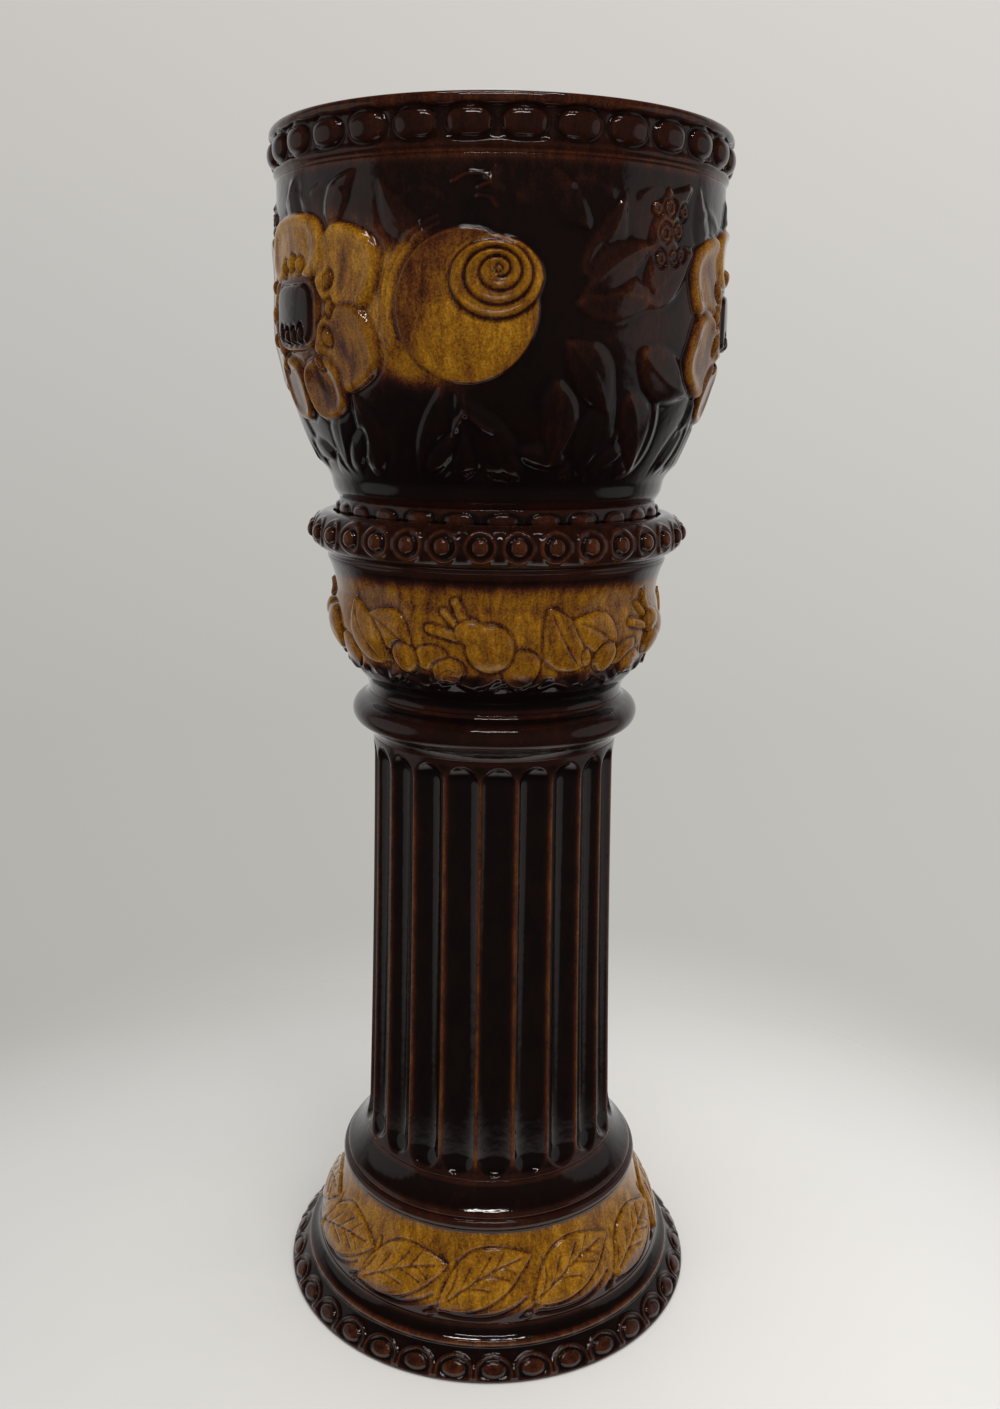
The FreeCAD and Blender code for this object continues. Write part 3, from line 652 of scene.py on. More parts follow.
def poppy(clay, at):
    """A wide open flower: lobed petals round a square pod, with eggs and ovals about it."""
    deg = math.degrees(1 / clay.radius)  # one mm round the form
    for px, pz, wide, tall, turn, amber in (
            (-47, 667, 25, 23, 20, 0.62), (47, 668, 23, 22, -20, 0.74),
            (-46, 627, 25, 22, -25, 0.56), (45, 627, 23, 22, 25, 0.60),
            (-18, 606, 19, 18, -10, 0.53), (20, 606, 20, 17, 10, 0.54), (-2, 680, 35, 19, 0, 0.80)):
        dx, dz = clay.near(at + px * deg, pz, turn)
        edge = oval_edge(dx, dz, wide, tall, 2.7)
        shape = 2.0 + 1.4 * bell(edge - 0.82, 0.16) - 0.8 * bell(edge, 0.5)
        streak = bell(dx + 0.15 * dz, 3.5) * smooth_step(0.9, 0.2, edge)
        clay.lay(edge, shape, amber=amber - 0.28 * streak - 0.12 * smooth_step(0.8, 1.0, edge),
                 groove=0.8, size=min(wide, tall), soft=1.8, cut=1.6)
    pod = (at - 1 * deg, 646)
    clay.oval(*pod, 27.5, 20.0, 2.8, power=3.6, dome=0.35, amber=0.40, groove=0.9, soft=1.4)
    clay.oval(*pod, 22.0, 16.2, 4.3, power=4.2, dome=0.25, amber=0.03, groove=1.3, soft=1.2)
    clay.ovals(at, ((-13, 636), (-5, 634.5), (3, 634.5), (11, 636)), 2.5, 4.4, 5.2, groove=0.7,
               amber=0.05)
    clay.ovals(at, ((-11, 671), (-1, 673), (9, 671.5)), 4.2, 5.0, 4.4, groove=0.8, amber=0.62)
    for side in (-1, 1):
        for px, pz, turn in ((35, 662, -20), (36.5, 648, 0), (34, 633, 15), (23, 620, 40)):
            clay.ovals(at, [(side * px, pz)], 3.3, 5.6, 4.0, turn=side * turn, groove=0.8,
                       amber=0.48)


def rose(clay, at):
    """A round rose: a ringed disc with its rolled petals as spirals above the middle."""
    disc, middle = 38.5, 648
    x, deg = clay.round_at(at), math.degrees(1 / clay.radius)

    def bow(reach, start, end, count):
        return [(x + reach * math.cos(a), middle + reach * math.sin(a))
                for a in np.linspace(start, end, count)]

    dx, dz = clay.near(at, middle)
    edge = np.hypot(dx, dz) / disc
    mottle = (smooth_step(0.50, 0.84, np.hypot(dx - 5, dz + 7) / disc)
              * smooth_step(-14, 14, dz - dx * 0.75))
    clay.lay(edge, 1.8 + 1.2 * (1 - np.clip(edge, 0, 1) ** 2),
             amber=0.74 - 0.30 * mottle - 0.16 * smooth_step(0.82, 1.0, edge),
             groove=0.9, size=disc, soft=1.6)
    clay.cord(bow(37.8, 0, 2 * math.pi, 40), 1.0, 0.8)
    for reach in (42.5, 46.0):
        clay.cord(bow(reach, 1.9, 3.6, 14), 1.3, 1.0)
    # The bud rolls up round its own centre, up and to the right of the disc's.
    bud_x, bud_z = x + 16.5, 664
    dx, dz = clay.near(at + 15.0 * deg, 661.5)
    edge = np.hypot(dx / 25.5, dz / 21)
    clay.lay(edge, 3.2 + 1.4 * (1 - np.clip(edge, 0, 1) ** 2), amber=0.66, groove=0.8, size=22,
             soft=1.6, cut=1.3)
    for shift, width, rise, amber in ((1.9, 1.0, -1.2, 0.32), (0, 0.9, 1.9, 0.62)):
        coil = []
        for a in np.linspace(0.4, 2 * math.pi * 3.3, 70):
            t = a / (2 * math.pi)
            coil.append((bud_x + 1.0 - 1.0 * t + (1.6 + shift + 6.8 * t) * math.cos(a - 2.0),
                         bud_z + 2.2 - 1.35 * t + (1.6 + shift + 5.5 * t) * math.sin(a - 2.0)))
        clay.cord(coil, width, rise, amber=amber)
    clay.oval(at + 17.3 * deg, 666.0, 1.9, 2.1, 6.0, amber=0.6)


def leaf_group(clay, at):
    """Dark leaves with raised ribs between two flowers."""
    deg = math.degrees(1 / clay.radius)
    leaf = dict(crown=1.3, groove=0.8, soft=2.0, cut=1.5, amber=0.07)
    for px, pz, length, width, turn, bend, rib in (
            (20, 606, 50, 26, -64, 4, -0.8), (24, 628, 56, 28, -24, -4, -0.9),
            (-26, 612, 48, 24, -88, 4, -0.7), (30, 668, 44, 22, 78, -3, -0.9),
            (24, 650, 50, 28, 38, 4, -0.9), (-22, 632, 50, 26, -52, 3, -0.8),
            (-18, 650, 50, 30, 2, 5, -1.0), (-14, 664, 46, 22, 60, -3, -1.0),
            (-12, 658, 46, 23, 30, 3, -1.0)):
        clay.leaf(at + px * deg, pz, length, width, turn, 0.8, bend=bend, rib=rib, **leaf)


def berries(clay, at):
    """Small ring-shaped berries above the leaves."""
    for px, pz, size in ((40, 701, 4.2), (47, 690, 4.0), (37, 688, 4.4), (44, 676, 3.8),
                         (34, 675, 3.6), (52, 700, 3.6), (50, 678, 3.2), (31, 700, 3.2)):
        clay.ovals(at, [(px, pz)], size, size * 1.15, 2.8, groove=1.0, amber=0.16)
        clay.ovals(at, [(px, pz)], size * 0.45, size * 0.5, 1.0, groove=0.6, amber=0.05)


def bowl_leaves(clay):
    """Leaf tips under the collar, and long leaves that lap over one another at the bowl's foot."""
    leaf = dict(crown=1.2, groove=0.7, soft=2.2, cut=1.6)
    tips, feet = 18, 14
    for number in range(tips):
        at = number * 360 / tips + 5 * math.sin(number * 3.1)
        z = 702 + 5 * math.sin(number * 1.3)
        lean = 42 * math.sin(number * 2.3)
        clay.leaf(at, z - 20, 38, 19, 90 + lean, 0.3, bend=4, rib=-0.5, **leaf)
        clay.path(clay.round_at(at), z, [(-14, 0), (-5, 4), (5, 2), (13, -3)], 2.0, 0.8)
    for number in range(feet):
        at = -176 + number * 360 / feet + 3 * math.sin(number * 2.1)
        lean, bend = 34 * math.sin(number * 1.9 + 0.6), 7 * math.sin(number * 2.7)
        clay.leaf(at, 550, 62, 28, 90 + lean, 0.5, bend=bend, rib=-0.8, **leaf)
        clay.leaf(at + 11, 556, 50, 24, 70 - lean, 0.6, bend=-6, rib=-0.7, **leaf)
        clay.oval(at + 6, 571, 17, 6.5, 2.0, turn=24 - lean, groove=0.6, soft=1.8)


def bowl_relief(settings, azimuth, radius, height):
    """Poppies, roses and leaves round the bowl."""
    clay = Clay(azimuth, height, 133.8)
    poppies, groups = (-138, 82, -58), (25, 165, -98)
    for at in poppies:
        clay.ground(at + 8, 650, 80, 44, 0.62)
    for at in (-8, 132):
        clay.ground(at - 8, 645, 48, 37, 0.70, fade=0.22)
    bowl_leaves(clay)
    for at in groups:
        leaf_group(clay, at)
    # Thick glaze softens the leaves. What is laid on after this stays crisp.
    clay.h = blur(blur(clay.h, 1.2, 0), 1.2, 1)
    clay.amber = blur(clay.amber, 1.2, 0)
    for at in groups:
        berries(clay, at)
    for at in poppies:
        poppy(clay, at)
    for at in (132, -7.4):
        rose(clay, at)
    # Small stems and scrolls under and over the front rose.
    x = clay.round_at(-8.5)
    clay.path(x, 0, [(-7, 582), (-4, 589), (1, 595), (1, 604)], 1.4, 1.2)
    clay.path(x, 0, [(1, 595), (9, 589), (17, 585)], 1.4, 1.2)
    clay.path(x, 0, [(-4, 708), (3, 711.5), (12, 711), (15, 707.5), (9, 705.5)], 1.2, 1.3)
    clay.path(x, 0, [(9, 701), (15, 700), (18, 696)], 1.3, 1.0)
    # A paler amber patch round azimuth 37, high on the bowl's right side, is a painted sheen.
    sheen_band = smooth_step(580, 640, height) * smooth_step(716, 690, height)
    clay.amber += 0.15 * bell(clay.near(37, 640)[0], 20) * sheen_band
    clay.amber += 0.07 * smooth_step(690, 714, height)
    middle_of_wall = np.interp(height, (541, 557, 633), (95, 100.5, 129.5))
    outer = (height > FOOT_TOP + 0.5) * (radius > middle_of_wall) * (height < BOWL_TOP - 0.1)
    shown = outer * smooth_step(556, 566, height) * smooth_step(719, 712, height)
    thinness = 0.05 + clay.amber * 0.95 + 0.05 * smooth_step(590, 670, height)
    return clay.h * shown * settings.relief_height, np.where(outer, thinness, 0.10)


# ---- materials

# Glaze from thick to thin: near black, red-brown, brown, honey, pale honey.
GLAZE_TONES = [
    (0.00, (0.0030, 0.0018, 0.0016)),
    (0.14, (0.0062, 0.0026, 0.0020)),
    (0.30, (0.0200, 0.0056, 0.0034)),
    (0.46, (0.0600, 0.0165, 0.0050)),
    (0.60, (0.1200, 0.0440, 0.0060)),
    (0.78, (0.1950, 0.0805, 0.0042)),
    (1.00, (0.3300, 0.1540, 0.0120)),
]
GLAZE_IOR = 1.58
CLAY_TONES = [(0.3, (0.20, 0.115, 0.065)), (0.7, (0.33, 0.20, 0.12))]
# The floor's tones are painted light: its colour runs from darker on the left to paler on the
# right.
FLOOR_PAINTED_LIGHT_TONES = [(0.22, (0.705, 0.70, 0.68)), (0.78, (0.93, 0.92, 0.905))]
# The backdrop that the camera sees, from below the horizon to above it, with painted shade darkest
# where floor meets wall.
BACKDROP_PAINTED_SHADE_TONES = [(0.16, (0.76, 0.745, 0.72)), (0.235, (0.63, 0.62, 0.60)),
                  (0.275, (0.475, 0.465, 0.435)), (0.38, (0.485, 0.480, 0.450)),
                  (0.66, (0.64, 0.615, 0.59))]


def glaze_group():
    """Shared glaze effect: colour, roughness and surface height from how thin the glaze lies."""
    name = "Treacle glaze"
    tree = bpy.data.node_groups.get(name)
    if tree:
        return tree
    tree = bpy.data.node_groups.new(name, "ShaderNodeTree")
    tree.interface.new_socket("Vector", in_out="INPUT", socket_type="NodeSocketVector")
    for socket in ("Thinness", "Edge", "Bare", "Lift"):
        tree.interface.new_socket(socket, in_out="INPUT", socket_type="NodeSocketFloat")
    tree.interface.new_socket("Color", in_out="OUTPUT", socket_type="NodeSocketColor")
    for socket in ("Roughness", "Height"):
        tree.interface.new_socket(socket, in_out="OUTPUT", socket_type="NodeSocketFloat")
    n = Nodes(tree)
    entry = n.add("NodeGroupInput").outputs
    place, thinness, edge, bare = (entry[key] for key in ("Vector", "Thinness", "Edge", "Bare"))

    def swing(field, middle, weight):
        return n.math("MULTIPLY", n.math("SUBTRACT", field, middle), weight)

    # Streaks run down the form. Where the glaze is thick they hardly show.
    stretched = n.add("ShaderNodeVectorMath", {0: place, 1: (1, 1, 0.30)},
                      operation="MULTIPLY").outputs[0]
    speck = n.noise(place, 900, 2.0, 0.6)
    streaks = n.math("ADD", swing(n.noise(stretched, 620, 3.0, 0.6), 0.5, 0.50),
                     swing(n.noise(stretched, 170, 2.0), 0.5, 0.75))
    stir = n.math("MULTIPLY", n.math("ADD", streaks, swing(speck, 0.5, 0.80)),
                  n.math("MULTIPLY_ADD", thinness, 1.15, 0.10))
    drift = swing(n.noise(place, 38, 3.0), 0.48, 0.20)
    # The glaze runs thin on edges and pools in hollows.
    high = n.math("MULTIPLY", n.math("MAXIMUM", edge, 0.0),
                  n.math("MULTIPLY_ADD", thinness, -0.20, 0.20))
    low = n.math("MULTIPLY", n.math("MINIMUM", edge, 0.0),
                 n.math("MULTIPLY_ADD", thinness, 0.24, 0.06))
    total = n.math("ADD", n.math("ADD", thinness, entry["Lift"]), n.math("ADD", high, low))
    total = n.math("ADD", total, n.math("ADD", stir, drift), clamp=True)
    tone, clay_tone = n.ramp(total, GLAZE_TONES), n.ramp(n.noise(place, 260, 4.0), CLAY_TONES)
    colour = n.add("ShaderNodeMix", {0: bare, 6: tone, 7: clay_tone}, data_type="RGBA").outputs[2]
    rough = n.math("MULTIPLY_ADD", n.noise(place, 75, 3.0), 0.07, 0.028)
    rough = n.math("MAXIMUM", rough, n.math("MULTIPLY", bare, 0.85))
    height = n.math("ADD", n.math("MULTIPLY", n.noise(place, 95, 2.0), 0.8),
                    n.math("MULTIPLY", speck, 0.035))
    n.add("NodeGroupOutput", {"Color": colour, "Roughness": rough, "Height": height})
    return tree


def glaze(name, lift, waves):
    """A glossy glaze material. Lift thins it all over, waves is how uneven it lies."""
    material = bpy.data.materials.get(name)
    if material:
        return material
    material = bpy.data.materials.new(name)
    material.use_nodes = True
    n = Nodes(material.node_tree)
    amber, crest, bare = (n.add("ShaderNodeAttribute", attribute_name=mark).outputs["Fac"]
                          for mark in ("amber", "crest", "bare"))
    tone = n.add("ShaderNodeGroup", node_tree=glaze_group())
    n.wire(tone, {"Vector": n.add("ShaderNodeTexCoord").outputs["Object"], "Thinness": amber,
                  "Edge": crest, "Bare": bare, "Lift": lift})
    bump = n.add("ShaderNodeBump", {
        "Strength": waves, "Distance": 0.9 * MM, "Height": tone.outputs["Height"]})
    shader = n.add("ShaderNodeBsdfPrincipled", {
        "Base Color": tone.outputs["Color"], "Roughness": tone.outputs["Roughness"],
        "IOR": GLAZE_IOR, "Normal": bump.outputs[0]})
    n.add("ShaderNodeOutputMaterial", {0: shader.outputs[0]})
    return material


def floor_material(fade_from, fade_to, mirrored_fade_to):
    """Pale floor with painted light, paler to the right, that fades into the background, and sooner
    where the glaze mirrors it.
    """
    material = bpy.data.materials.new("pale_floor")
    material.use_nodes = True
    n = Nodes(material.node_tree)
    place = n.add("ShaderNodeTexCoord").outputs["Object"]
    reach = n.add("ShaderNodeVectorMath", {0: place}, operation="LENGTH").outputs["Value"]
    # Painted light on the floor: paler towards +X, darker towards -X, with soft blotches.
    side = n.add("ShaderNodeSeparateXYZ", {0: place}).outputs["X"]
    side = n.math("MULTIPLY_ADD", side, 0.8, n.math("MULTIPLY", n.noise(place, 9, 4.0), 0.12))
    mirrored = n.add("ShaderNodeLightPath").outputs["Is Glossy Ray"]
    fade_end = n.math("MULTIPLY_ADD", mirrored, mirrored_fade_to - fade_to, fade_to)
    shader = n.add("ShaderNodeBsdfPrincipled", {
        "Base Color": n.ramp(n.math("ADD", side, 0.44), FLOOR_PAINTED_LIGHT_TONES), "Roughness": 0.7,
        "Alpha": n.fade(reach, fade_from, fade_end, 1.0, 0.0)})
    n.add("ShaderNodeOutputMaterial", {0: shader.outputs[0]})
    return material


# ---- settings

class PotSettings(bpy.types.PropertyGroup):
    """Sizes of the jardiniere's ornament."""
    rim_beads: bpy.props.IntProperty(
        name="Rim beads", description="Ovals round the pot's rim", default=30, min=8)
    bead_height: bpy.props.FloatProperty(
        name="Bead height", description="How far a rim oval stands proud, in mm",
        default=4.6, min=0.5)
    foot_ovals: bpy.props.IntProperty(
        name="Foot ovals", description="Ovals round the foot ring", default=26, min=8)
    relief_height: bpy.props.FloatProperty(
        name="Relief", description="Height of the flower relief as a share of its modelled height",
        default=1.0, min=0.2, max=1.3, subtype="FACTOR")


class StandSettings(bpy.types.PropertyGroup):
    """Sizes of the pedestal's ornament."""
    capital_beads: bpy.props.IntProperty(
        name="Capital beads", description="Beads round the capital's rim", default=34, min=8)
    capital_groups: bpy.props.IntProperty(
        name="Bud groups", description="Groups of bud, fruit and leaves round the capital",
        default=5, min=1)
    flutes: bpy.props.IntProperty(
        name="Flutes", description="Flutes round the column", default=22, min=6)
    flute_depth: bpy.props.FloatProperty(
        name="Flute depth", description="Depth of a flute, in mm", default=5.0, min=1.0, max=9.0)
    plinth_ovals: bpy.props.IntProperty(
        name="Plinth ovals", description="Ovals round the foot of the base", default=34, min=8)
    garland_leaves: bpy.props.IntProperty(
        name="Garland leaves", description="Leaves in the garland round the base",
        default=12, min=4)


class StageSettings(bpy.types.PropertyGroup):
    """Floor, light and camera."""
    camera_height: bpy.props.FloatProperty(
        name="Camera height", description="Height of the camera over the floor", default=0.605,
        subtype="DISTANCE", unit="LENGTH")
    camera_distance: bpy.props.FloatProperty(
        name="Camera distance", description="Distance of the camera in front of the axis",
        default=0.8199, subtype="DISTANCE", unit="LENGTH")
    camera_pitch: bpy.props.FloatProperty(
        name="Camera pitch", description="How far the camera looks down",
        default=math.radians(13.71), subtype="ANGLE", unit="ROTATION")
    camera_roll: bpy.props.FloatProperty(
        name="Camera roll", description="How far the camera leans", default=math.radians(0.8),
        subtype="ANGLE", unit="ROTATION")
    floor_radius: bpy.props.FloatProperty(
        name="Floor radius", description="Radius of the floor disc", default=1.1,
        subtype="DISTANCE", unit="LENGTH")


# ---- steps

def close_half(mesh, directions):
    """Close a half shell where it meets its other half, and shade it as part of the whole form."""
    work = bmesh.new()
    work.from_mesh(mesh)
    rim = [edge for edge in work.edges if edge.is_boundary]
    made = bmesh.ops.contextual_create(work, geom=rim)["faces"]
    for face in made:
        face.smooth = False
    bmesh.ops.recalc_face_normals(work, faces=made)
    work.to_mesh(mesh)
    work.free()
    corner = np.zeros(len(mesh.loops), np.int32)
    mesh.loops.foreach_get("vertex_index", corner)
    normals = directions[corner].astype(np.float32)
    for polygon in mesh.polygons:
        if len(polygon.vertices) > 4:
            for loop in polygon.loop_indices:
                normals[loop] = polygon.normal
    mesh.normals_split_custom_set(normals.tolist())


def surface_directions(azimuth, radius, height):
    """Outward direction at each point of a form that ends on the axis."""
    angle = np.radians(azimuth)[:, None]
    place = np.stack([radius * np.sin(angle), -radius * np.cos(angle), height], axis=-1)
    across = np.roll(place, -1, axis=0) - np.roll(place, 1, axis=0)
    facing = np.cross(across, np.gradient(place, axis=1))
    facing[:, 0], facing[:, -1] = (0, 0, -1), (0, 0, 1)
    return facing / np.maximum(np.linalg.norm(facing, axis=-1, keepdims=True), 1e-9)


def round_bore(corners, step, soft, hidden_step):
    """Outline of a section round the bore. Its corners run up the outside."""
    low, high = corners[0][:2], corners[-1][:2]
    hidden = run([high, (BORE_R, high[1]), (BORE_R, low[1]), low], hidden_step, 0)
    return outline([run(corners, step, soft), hidden])


def inner_wall(reach):
    """Nearly bare clay inside a radius."""
    return lambda radius, height: (radius < reach) * 0.9


def underside(lift):
    """Bare clay below a height."""
    return lambda radius, height: (height < lift) * 1.0


class JARDINIERE_OT_pot_rim(bpy.types.Operator):
    """Add the pot's rim with its wide ovals"""
    bl_idname = "jardiniere.pot_rim"
    bl_label = "Pot rim"

    def execute(self, context):
        settings = context.scene.jardiniere_pot
        shown = run([(COLLAR_R, BOWL_TOP), (COLLAR_R, 723.5, 1.4), (133.8, 728.5), (133.8, 743),
                     (136.4, 744.2, 1.2), (135.2, POT_TOP), (128, POT_TOP, 0.75), (MOUTH_R, 747),
                     (MOUTH_R, BOWL_TOP)], lambda z: 0.72, 0.7)
        hidden = run([(MOUTH_R, BOWL_TOP), (COLLAR_R, BOWL_TOP)], 4, 0)
        shape = outline([shown, hidden])
        # The plain inside takes half the rows.
        kept = np.ones(len(shape[0]), bool)
        kept[np.flatnonzero((shape[0] < MOUTH_R + 0.2) & (shape[1] < 746))[1::2]] = False
        shape = tuple(part[kept] for part in shape)
        repeated_piece("rim_beaded", shape, settings.rim_beads, 30, partial(rim_relief, settings),
                       first=-6.8, edge_scale=1.3)
        return {"FINISHED"}


class JARDINIERE_OT_pot_bowl(bpy.types.Operator):
    """Add the pot's bowl with its flowers and leaves, in two half shells"""
    bl_idname = "jardiniere.pot_bowl"
    bl_label = "Pot bowl"

    def execute(self, context):
        settings = context.scene.jardiniere_pot
        below = run([(0, FOOT_TOP), (FOOT_R, FOOT_TOP)], 12, 0)
        outer = run([(FOOT_R, FOOT_TOP), (102.4, 546), (104.2, 554, 3.2), (133.8, 633),
                     (COLLAR_R, BOWL_TOP)], 1.05, 1.1)
        lip = run([(COLLAR_R, BOWL_TOP), (MOUTH_R, BOWL_TOP)], 5, 0)
        inner = run([(MOUTH_R, BOWL_TOP), (MOUTH_R, 633, -3.2), (95.8, 557), (88.8, 550), (0, 550)],
                    6.0, 2.0)
        shape = outline([below, outer, lip, inner], closed=False)
        columns = 800
        half = columns // 2
        azimuth = -90 + np.arange(columns) * 360 / columns
        relief = partial(bowl_relief, settings)
        radius, height, marks = form(azimuth, shape, relief, True, 0.9, None)
        facing = surface_directions(azimuth, radius, height)
        for name, first in (("bowl_front", 0), ("bowl_back", half)):
            part = np.arange(first, first + half + 1) % columns
            mesh, used = grid_mesh(name, azimuth[part], radius[part], height[part],
                                   {key: value[part] for key, value in marks.items()}, False, True)
            close_half(mesh, facing[part].reshape(-1, 3)[used])
            piece(name, mesh)
        return {"FINISHED"}


class JARDINIERE_OT_pot_foot(bpy.types.Operator):
    """Add the pot's foot ring with its ovals"""
    bl_idname = "jardiniere.pot_foot"
    bl_label = "Pot foot"

    def execute(self, context):
        settings = context.scene.jardiniere_pot
        shown = run([(97.4, SEAT), (98.6, 527.2, 1.0), (FOOT_R, FOOT_TOP)], 0.75, 0.4)
        hidden = run([(FOOT_R, FOOT_TOP), (FOOT_RING_R, FOOT_TOP), (FOOT_RING_R, SEAT)], 3, 0)
        under = run([(FOOT_RING_R, SEAT), (97.4, SEAT)], 2, 0)
        repeated_piece("foot_ovals", outline([shown, hidden, under]), settings.foot_ovals, 22,
                       foot_relief, first=2.0, bare=underside(SEAT + 0.3))
        return {"FINISHED"}


class JARDINIERE_OT_capital(bpy.types.Operator):
    """Add the capital: its beaded rim with the seat, and the dish with the band of buds"""
    bl_idname = "jardiniere.capital"
    bl_label = "Capital"

    def execute(self, context):
        settings = context.scene.jardiniere_stand
        under = run([(0, 517), (HEAD_R, 517), (HEAD_R, DISH_TOP), (DISH_R, DISH_TOP)], 6, 0)
        rim = run([(DISH_R, DISH_TOP), (DISH_R, 508), (112, 510.5, 4.6), (112, 530.5, 0.5),
                   (106.8, STAND_TOP), (103.2, STAND_TOP), (103.2, SEAT), (96, SEAT)], 0.75, 0.7)
        seat = run([(96, SEAT), (0, SEAT)], 12, 0)
        repeated_piece("capital_beaded_rim", outline([under, rim, seat], closed=False),
                       settings.capital_beads, 26, capital_rim_relief, first=-4.2, poles=True,
                       edge_scale=0.7, bare=lambda r, z: (z < SEAT - 1) * (r < HEAD_R + 1) * 0.8)
        dish = run([(NECK_R, NECK_TOP), (NECK_R, 421, -1), (87.6, 431, 1.8), (103.8, 465, 0.9),
                    (102, 484, -1), (DISH_R, 504), (DISH_R, DISH_TOP)], 0.85, 1.2)
        core = run([(DISH_R, DISH_TOP), (HEAD_R, DISH_TOP), (HEAD_R, 464), (BORE_R, 431),
                    (BORE_R, NECK_TOP), (NECK_R, NECK_TOP)], 6, 0)
        ring_piece("capital_dish", outline([dish, core]), 760, partial(capital_relief, settings),
                   edge_scale=0.42, bare=inner_wall(81))
        return {"FINISHED"}


class JARDINIERE_OT_neck_ring(bpy.types.Operator):
    """Add the neck's round moulding"""
    bl_idname = "jardiniere.neck_ring"
    bl_label = "Neck ring"

    def execute(self, context):
        shape = round_bore([(SHAFT_TOP_R, SHAFT_TOP, -1.4), (89.5, 398, 5), (86, 414, -0.7),
                            (NECK_R, NECK_TOP)], 0.7, 0.7, 5)
        ring_piece("neck_moulding", shape, 360, partial(plain_relief, 0.10),
                   bare=inner_wall(BORE_R + 2))
        return {"FINISHED"}


class JARDINIERE_OT_column(bpy.types.Operator):
    """Add the fluted column"""
    bl_idname = "jardiniere.column"
    bl_label = "Column"

    def execute(self, context):
        settings = context.scene.jardiniere_stand
        # Rows lie close only where the flutes begin and end.
        shape = round_bore([(SHAFT_FOOT_R, COVE_TOP, -0.6), (84.6, 121, -0.6), (79, 374),
                            (SHAFT_TOP_R, SHAFT_TOP)],
                           lambda z: 0.9 if z < 126 or z > 368 else 4.0, 0.8, 12)
        repeated_piece("fluted_shaft", shape, settings.flutes, 26, partial(flute_relief, settings),
                       first=2.58, edge_scale=0.55, bare=inner_wall(BORE_R + 2))
        return {"FINISHED"}


class JARDINIERE_OT_column_foot(bpy.types.Operator):
    """Add the coved ring between base and column"""
    bl_idname = "jardiniere.column_foot"
    bl_label = "Coved ring"

    def execute(self, context):
        shape = round_bore([(99.8, BASE_TOP, 0.7), (99.1, 92.5, -1.3), (SHAFT_FOOT_R, COVE_TOP)],
                           0.7, 0.7, 5)
        ring_piece("coved_ring", shape, 400, partial(plain_relief, 0.12),
                   bare=inner_wall(BORE_R + 2))
        return {"FINISHED"}


class JARDINIERE_OT_base(bpy.types.Operator):
    """Add the base: the plinth with its ovals, and the band with the garland"""
    bl_idname = "jardiniere.base"
    bl_label = "Base"

    def execute(self, context):
        settings = context.scene.jardiniere_stand
        plinth = run([(139.6, 0), (141, 0.8), (141, 2), (128, 16, 1.2), (126.8, 20.5, -1.2),
                      (PLINTH_R, PLINTH_TOP)], 0.8, 0.5)
        under = run([(PLINTH_R, PLINTH_TOP), (OPEN_R, PLINTH_TOP), (129, 0), (139.6, 0)], 5, 0)
        repeated_piece("plinth_ovals", outline([plinth, under]), settings.plinth_ovals, 26,
                       plinth_relief, first=2.3, bare=underside(0.4))
        band = run([(PLINTH_R, PLINTH_TOP, 2.2), (109.2, 57, -1.2), (BAND_R, 81.5, 1.2),
                    (BAND_R, BASE_TOP)], 0.85, 0.8)
        core = run([(BAND_R, BASE_TOP), (BORE_R, BASE_TOP), (90, 73), (OPEN_R, PLINTH_TOP),
                    (PLINTH_R, PLINTH_TOP)], 6, 0)
        ring_piece("garland_band", outline([band, core]), 800, partial(garland_relief, settings),
                   edge_scale=0.38, bare=inner_wall(88))
        return {"FINISHED"}


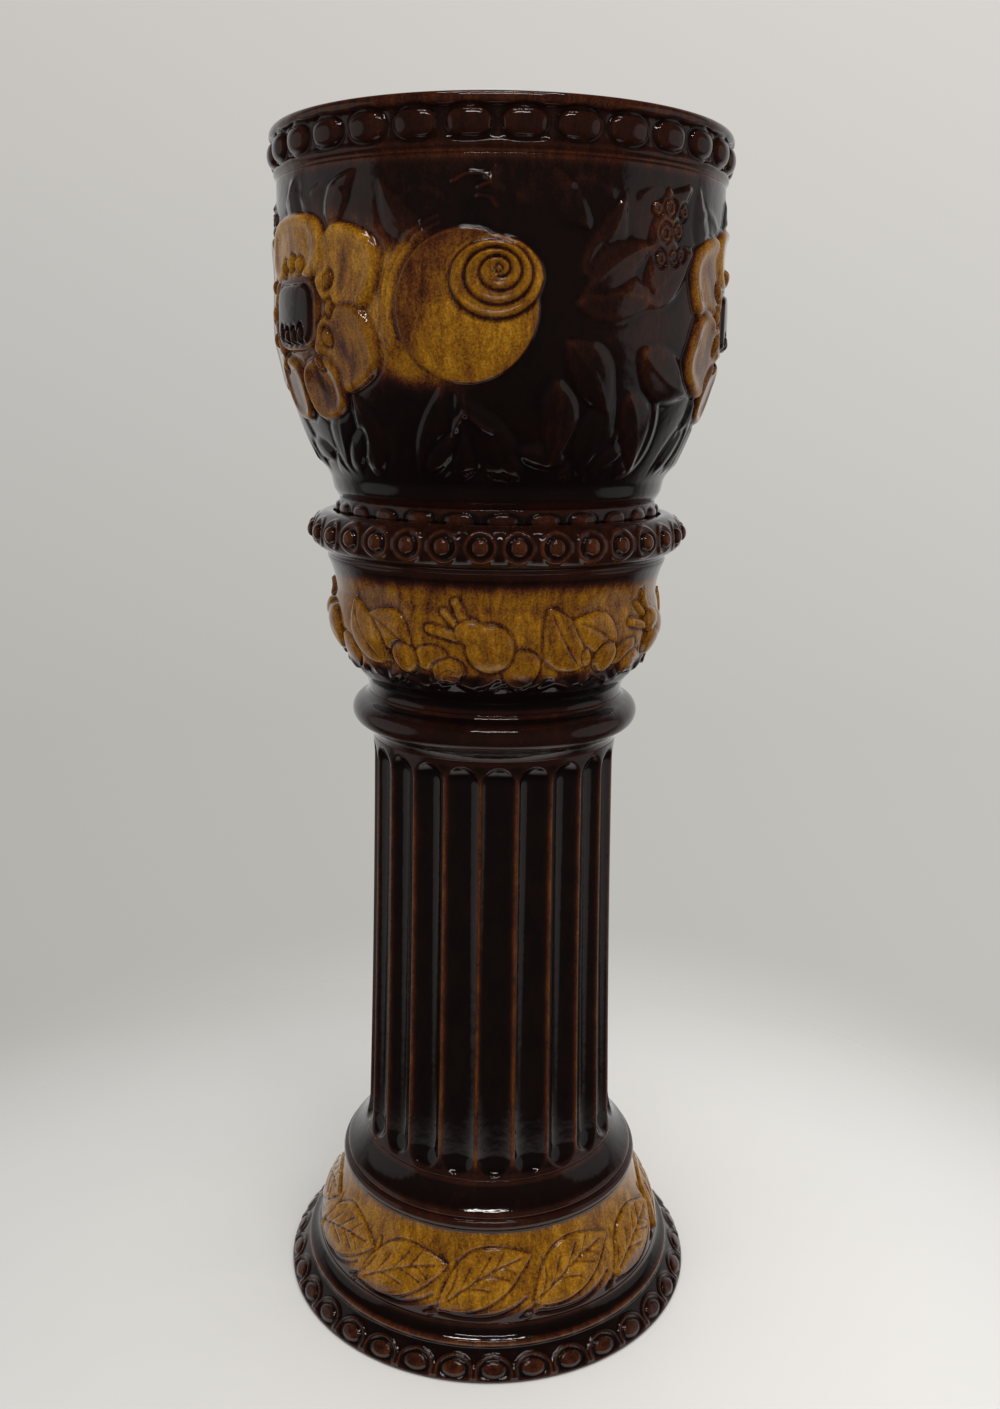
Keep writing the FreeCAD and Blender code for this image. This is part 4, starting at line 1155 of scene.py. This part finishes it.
class JARDINIERE_OT_stage(bpy.types.Operator):
    """Add the floor, the light and the camera"""
    bl_idname = "jardiniere.stage"
    bl_label = "Stage"

    def execute(self, context):
        scene, settings = context.scene, context.scene.jardiniere_stage
        self.add_floor(scene, settings)
        self.add_world(scene)
        self.add_lamps(scene)
        self.add_camera(scene, settings)
        scene.view_settings.view_transform = "Standard"
        return {"FINISHED"}

    def add_floor(self, scene, settings):
        """A pale disc under the stand."""
        count, reach = 96, settings.floor_radius
        turns = [2 * math.pi * k / count for k in range(count)]
        mesh = bpy.data.meshes.new("floor")
        ring = [(math.cos(turn) * reach, math.sin(turn) * reach, 0) for turn in turns]
        mesh.from_pydata(ring, [], [tuple(range(count))])
        mesh.materials.append(floor_material(fade_from=0.16, fade_to=0.62, mirrored_fade_to=0.35))
        floor = bpy.data.objects.new("floor", mesh)
        scene.collection.objects.link(floor)

    def add_world(self, scene):
        """A pale room: what the camera sees, what the glaze mirrors, and the even light."""
        scene.world = bpy.data.worlds.new("pale_room")
        scene.world.use_nodes = True
        n = Nodes(scene.world.node_tree)
        axes = n.add("ShaderNodeSeparateXYZ", {
            0: n.add("ShaderNodeTexCoord").outputs["Generated"]}).outputs
        # The glaze mirrors two pale sides and a pale back, which dim towards ceiling and floor.
        side = n.fade(n.math("ABSOLUTE", axes["X"]), 0.86, 0.91, 0.035, 0.26)
        back = n.fade(axes["Y"], 0.25, 0.80, 0.0, 0.60)
        high = n.fade(n.math("ABSOLUTE", axes["Z"]), 0.25, 0.9, 1.0, 0.20)
        mirrored = n.math("MULTIPLY", n.math("MAXIMUM", side, back), high)
        # The backdrop's painted shade darkens where floor meets wall, and its painted light grows
        # paler towards +X.
        seen = n.ramp(n.math("MULTIPLY_ADD", axes["Z"], 0.5, 0.5), BACKDROP_PAINTED_SHADE_TONES)
        backdrop_painted_side_light = n.math("MULTIPLY_ADD", axes["X"], 0.24, 1.03)
        light = n.add("ShaderNodeBackground", {"Color": (1.0, 0.985, 0.965, 1), "Strength": 0.78})
        path = n.add("ShaderNodeLightPath").outputs
        for ray, colour, strength in (("Is Glossy Ray", (1.0, 0.99, 0.965, 1), mirrored),
                                      ("Is Camera Ray", seen, backdrop_painted_side_light)):
            other = n.add("ShaderNodeBackground", {"Color": colour, "Strength": strength})
            light = n.add("ShaderNodeMixShader", {
                0: path[ray], 1: light.outputs[0], 2: other.outputs[0]})
        n.add("ShaderNodeOutputWorld", {0: light.outputs[0]})

    def add_lamps(self, scene):
        """A thin strip nearly overhead, one high in front, and a soft lamp at the front right."""
        aimed_at = Vector((0, 0, 0.4))
        for name, place, size, power, mirrored in (
                ("strip_high", (0.0, -0.35, 2.05), (0.9, 0.02), 3.2, True),
                ("strip_front", (0.0, -1.05, 1.95), (0.9, 0.03), 3.4, True),
                ("soft_front", (0.9, -1.5, 1.9), (1.4, 1.4), 13.0, False)):
            lamp = bpy.data.lights.new(name, "AREA")
            lamp.shape = "RECTANGLE"
            lamp.size, lamp.size_y = size
            lamp.energy = power
            lamp.color = (1.0, 0.97, 0.93)
            obj = bpy.data.objects.new(name, lamp)
            scene.collection.objects.link(obj)
            obj.location = place
            obj.rotation_euler = (aimed_at - obj.location).to_track_quat("-Z", "Y").to_euler()
            obj.visible_glossy = mirrored

    def add_camera(self, scene, settings):
        """The photograph's view."""
        data = bpy.data.cameras.new("camera")
        data.lens = 32.7
        camera = bpy.data.objects.new("camera", data)
        scene.collection.objects.link(camera)
        aside = 0.0036
        place = Matrix.Translation((aside, -settings.camera_distance, settings.camera_height))
        tilt = Matrix.Rotation(math.pi / 2 - settings.camera_pitch, 4, "X")
        lean = Matrix.Rotation(settings.camera_roll, 4, "Z")
        camera.matrix_world = place @ tilt @ lean
        scene.camera = camera


class JARDINIERE_PT_panel(bpy.types.Panel):
    """Sizes and steps of the jardiniere on its stand"""
    bl_label = "Jardiniere on stand"
    bl_space_type = "VIEW_3D"
    bl_region_type = "UI"
    bl_category = "Jardiniere"

    def draw(self, context):
        for group in SETTINGS:
            owner, box = getattr(context.scene, group), self.layout.box()
            for name in owner.__annotations__:
                box.prop(owner, name)
        for step in OPERATORS:
            self.layout.operator(step.bl_idname)


SETTINGS = {"jardiniere_pot": PotSettings, "jardiniere_stand": StandSettings,
            "jardiniere_stage": StageSettings}
OPERATORS = (JARDINIERE_OT_pot_rim, JARDINIERE_OT_pot_bowl, JARDINIERE_OT_pot_foot,
             JARDINIERE_OT_capital, JARDINIERE_OT_neck_ring, JARDINIERE_OT_column,
             JARDINIERE_OT_column_foot, JARDINIERE_OT_base, JARDINIERE_OT_stage)


def register():
    for name, group in SETTINGS.items():
        bpy.utils.register_class(group)
        setattr(bpy.types.Scene, name, bpy.props.PointerProperty(type=group))
    for item in OPERATORS + (JARDINIERE_PT_panel,):
        bpy.utils.register_class(item)


def unregister():
    for item in reversed(OPERATORS + (JARDINIERE_PT_panel,)):
        bpy.utils.unregister_class(item)
    for name, group in SETTINGS.items():
        delattr(bpy.types.Scene, name)
        bpy.utils.unregister_class(group)


def main():
    register()
    for step in (bpy.ops.jardiniere.pot_rim, bpy.ops.jardiniere.pot_bowl,
                 bpy.ops.jardiniere.pot_foot, bpy.ops.jardiniere.capital,
                 bpy.ops.jardiniere.neck_ring, bpy.ops.jardiniere.column,
                 bpy.ops.jardiniere.column_foot, bpy.ops.jardiniere.base,
                 bpy.ops.jardiniere.stage):
        step()


if __name__ == "__main__":
    main()
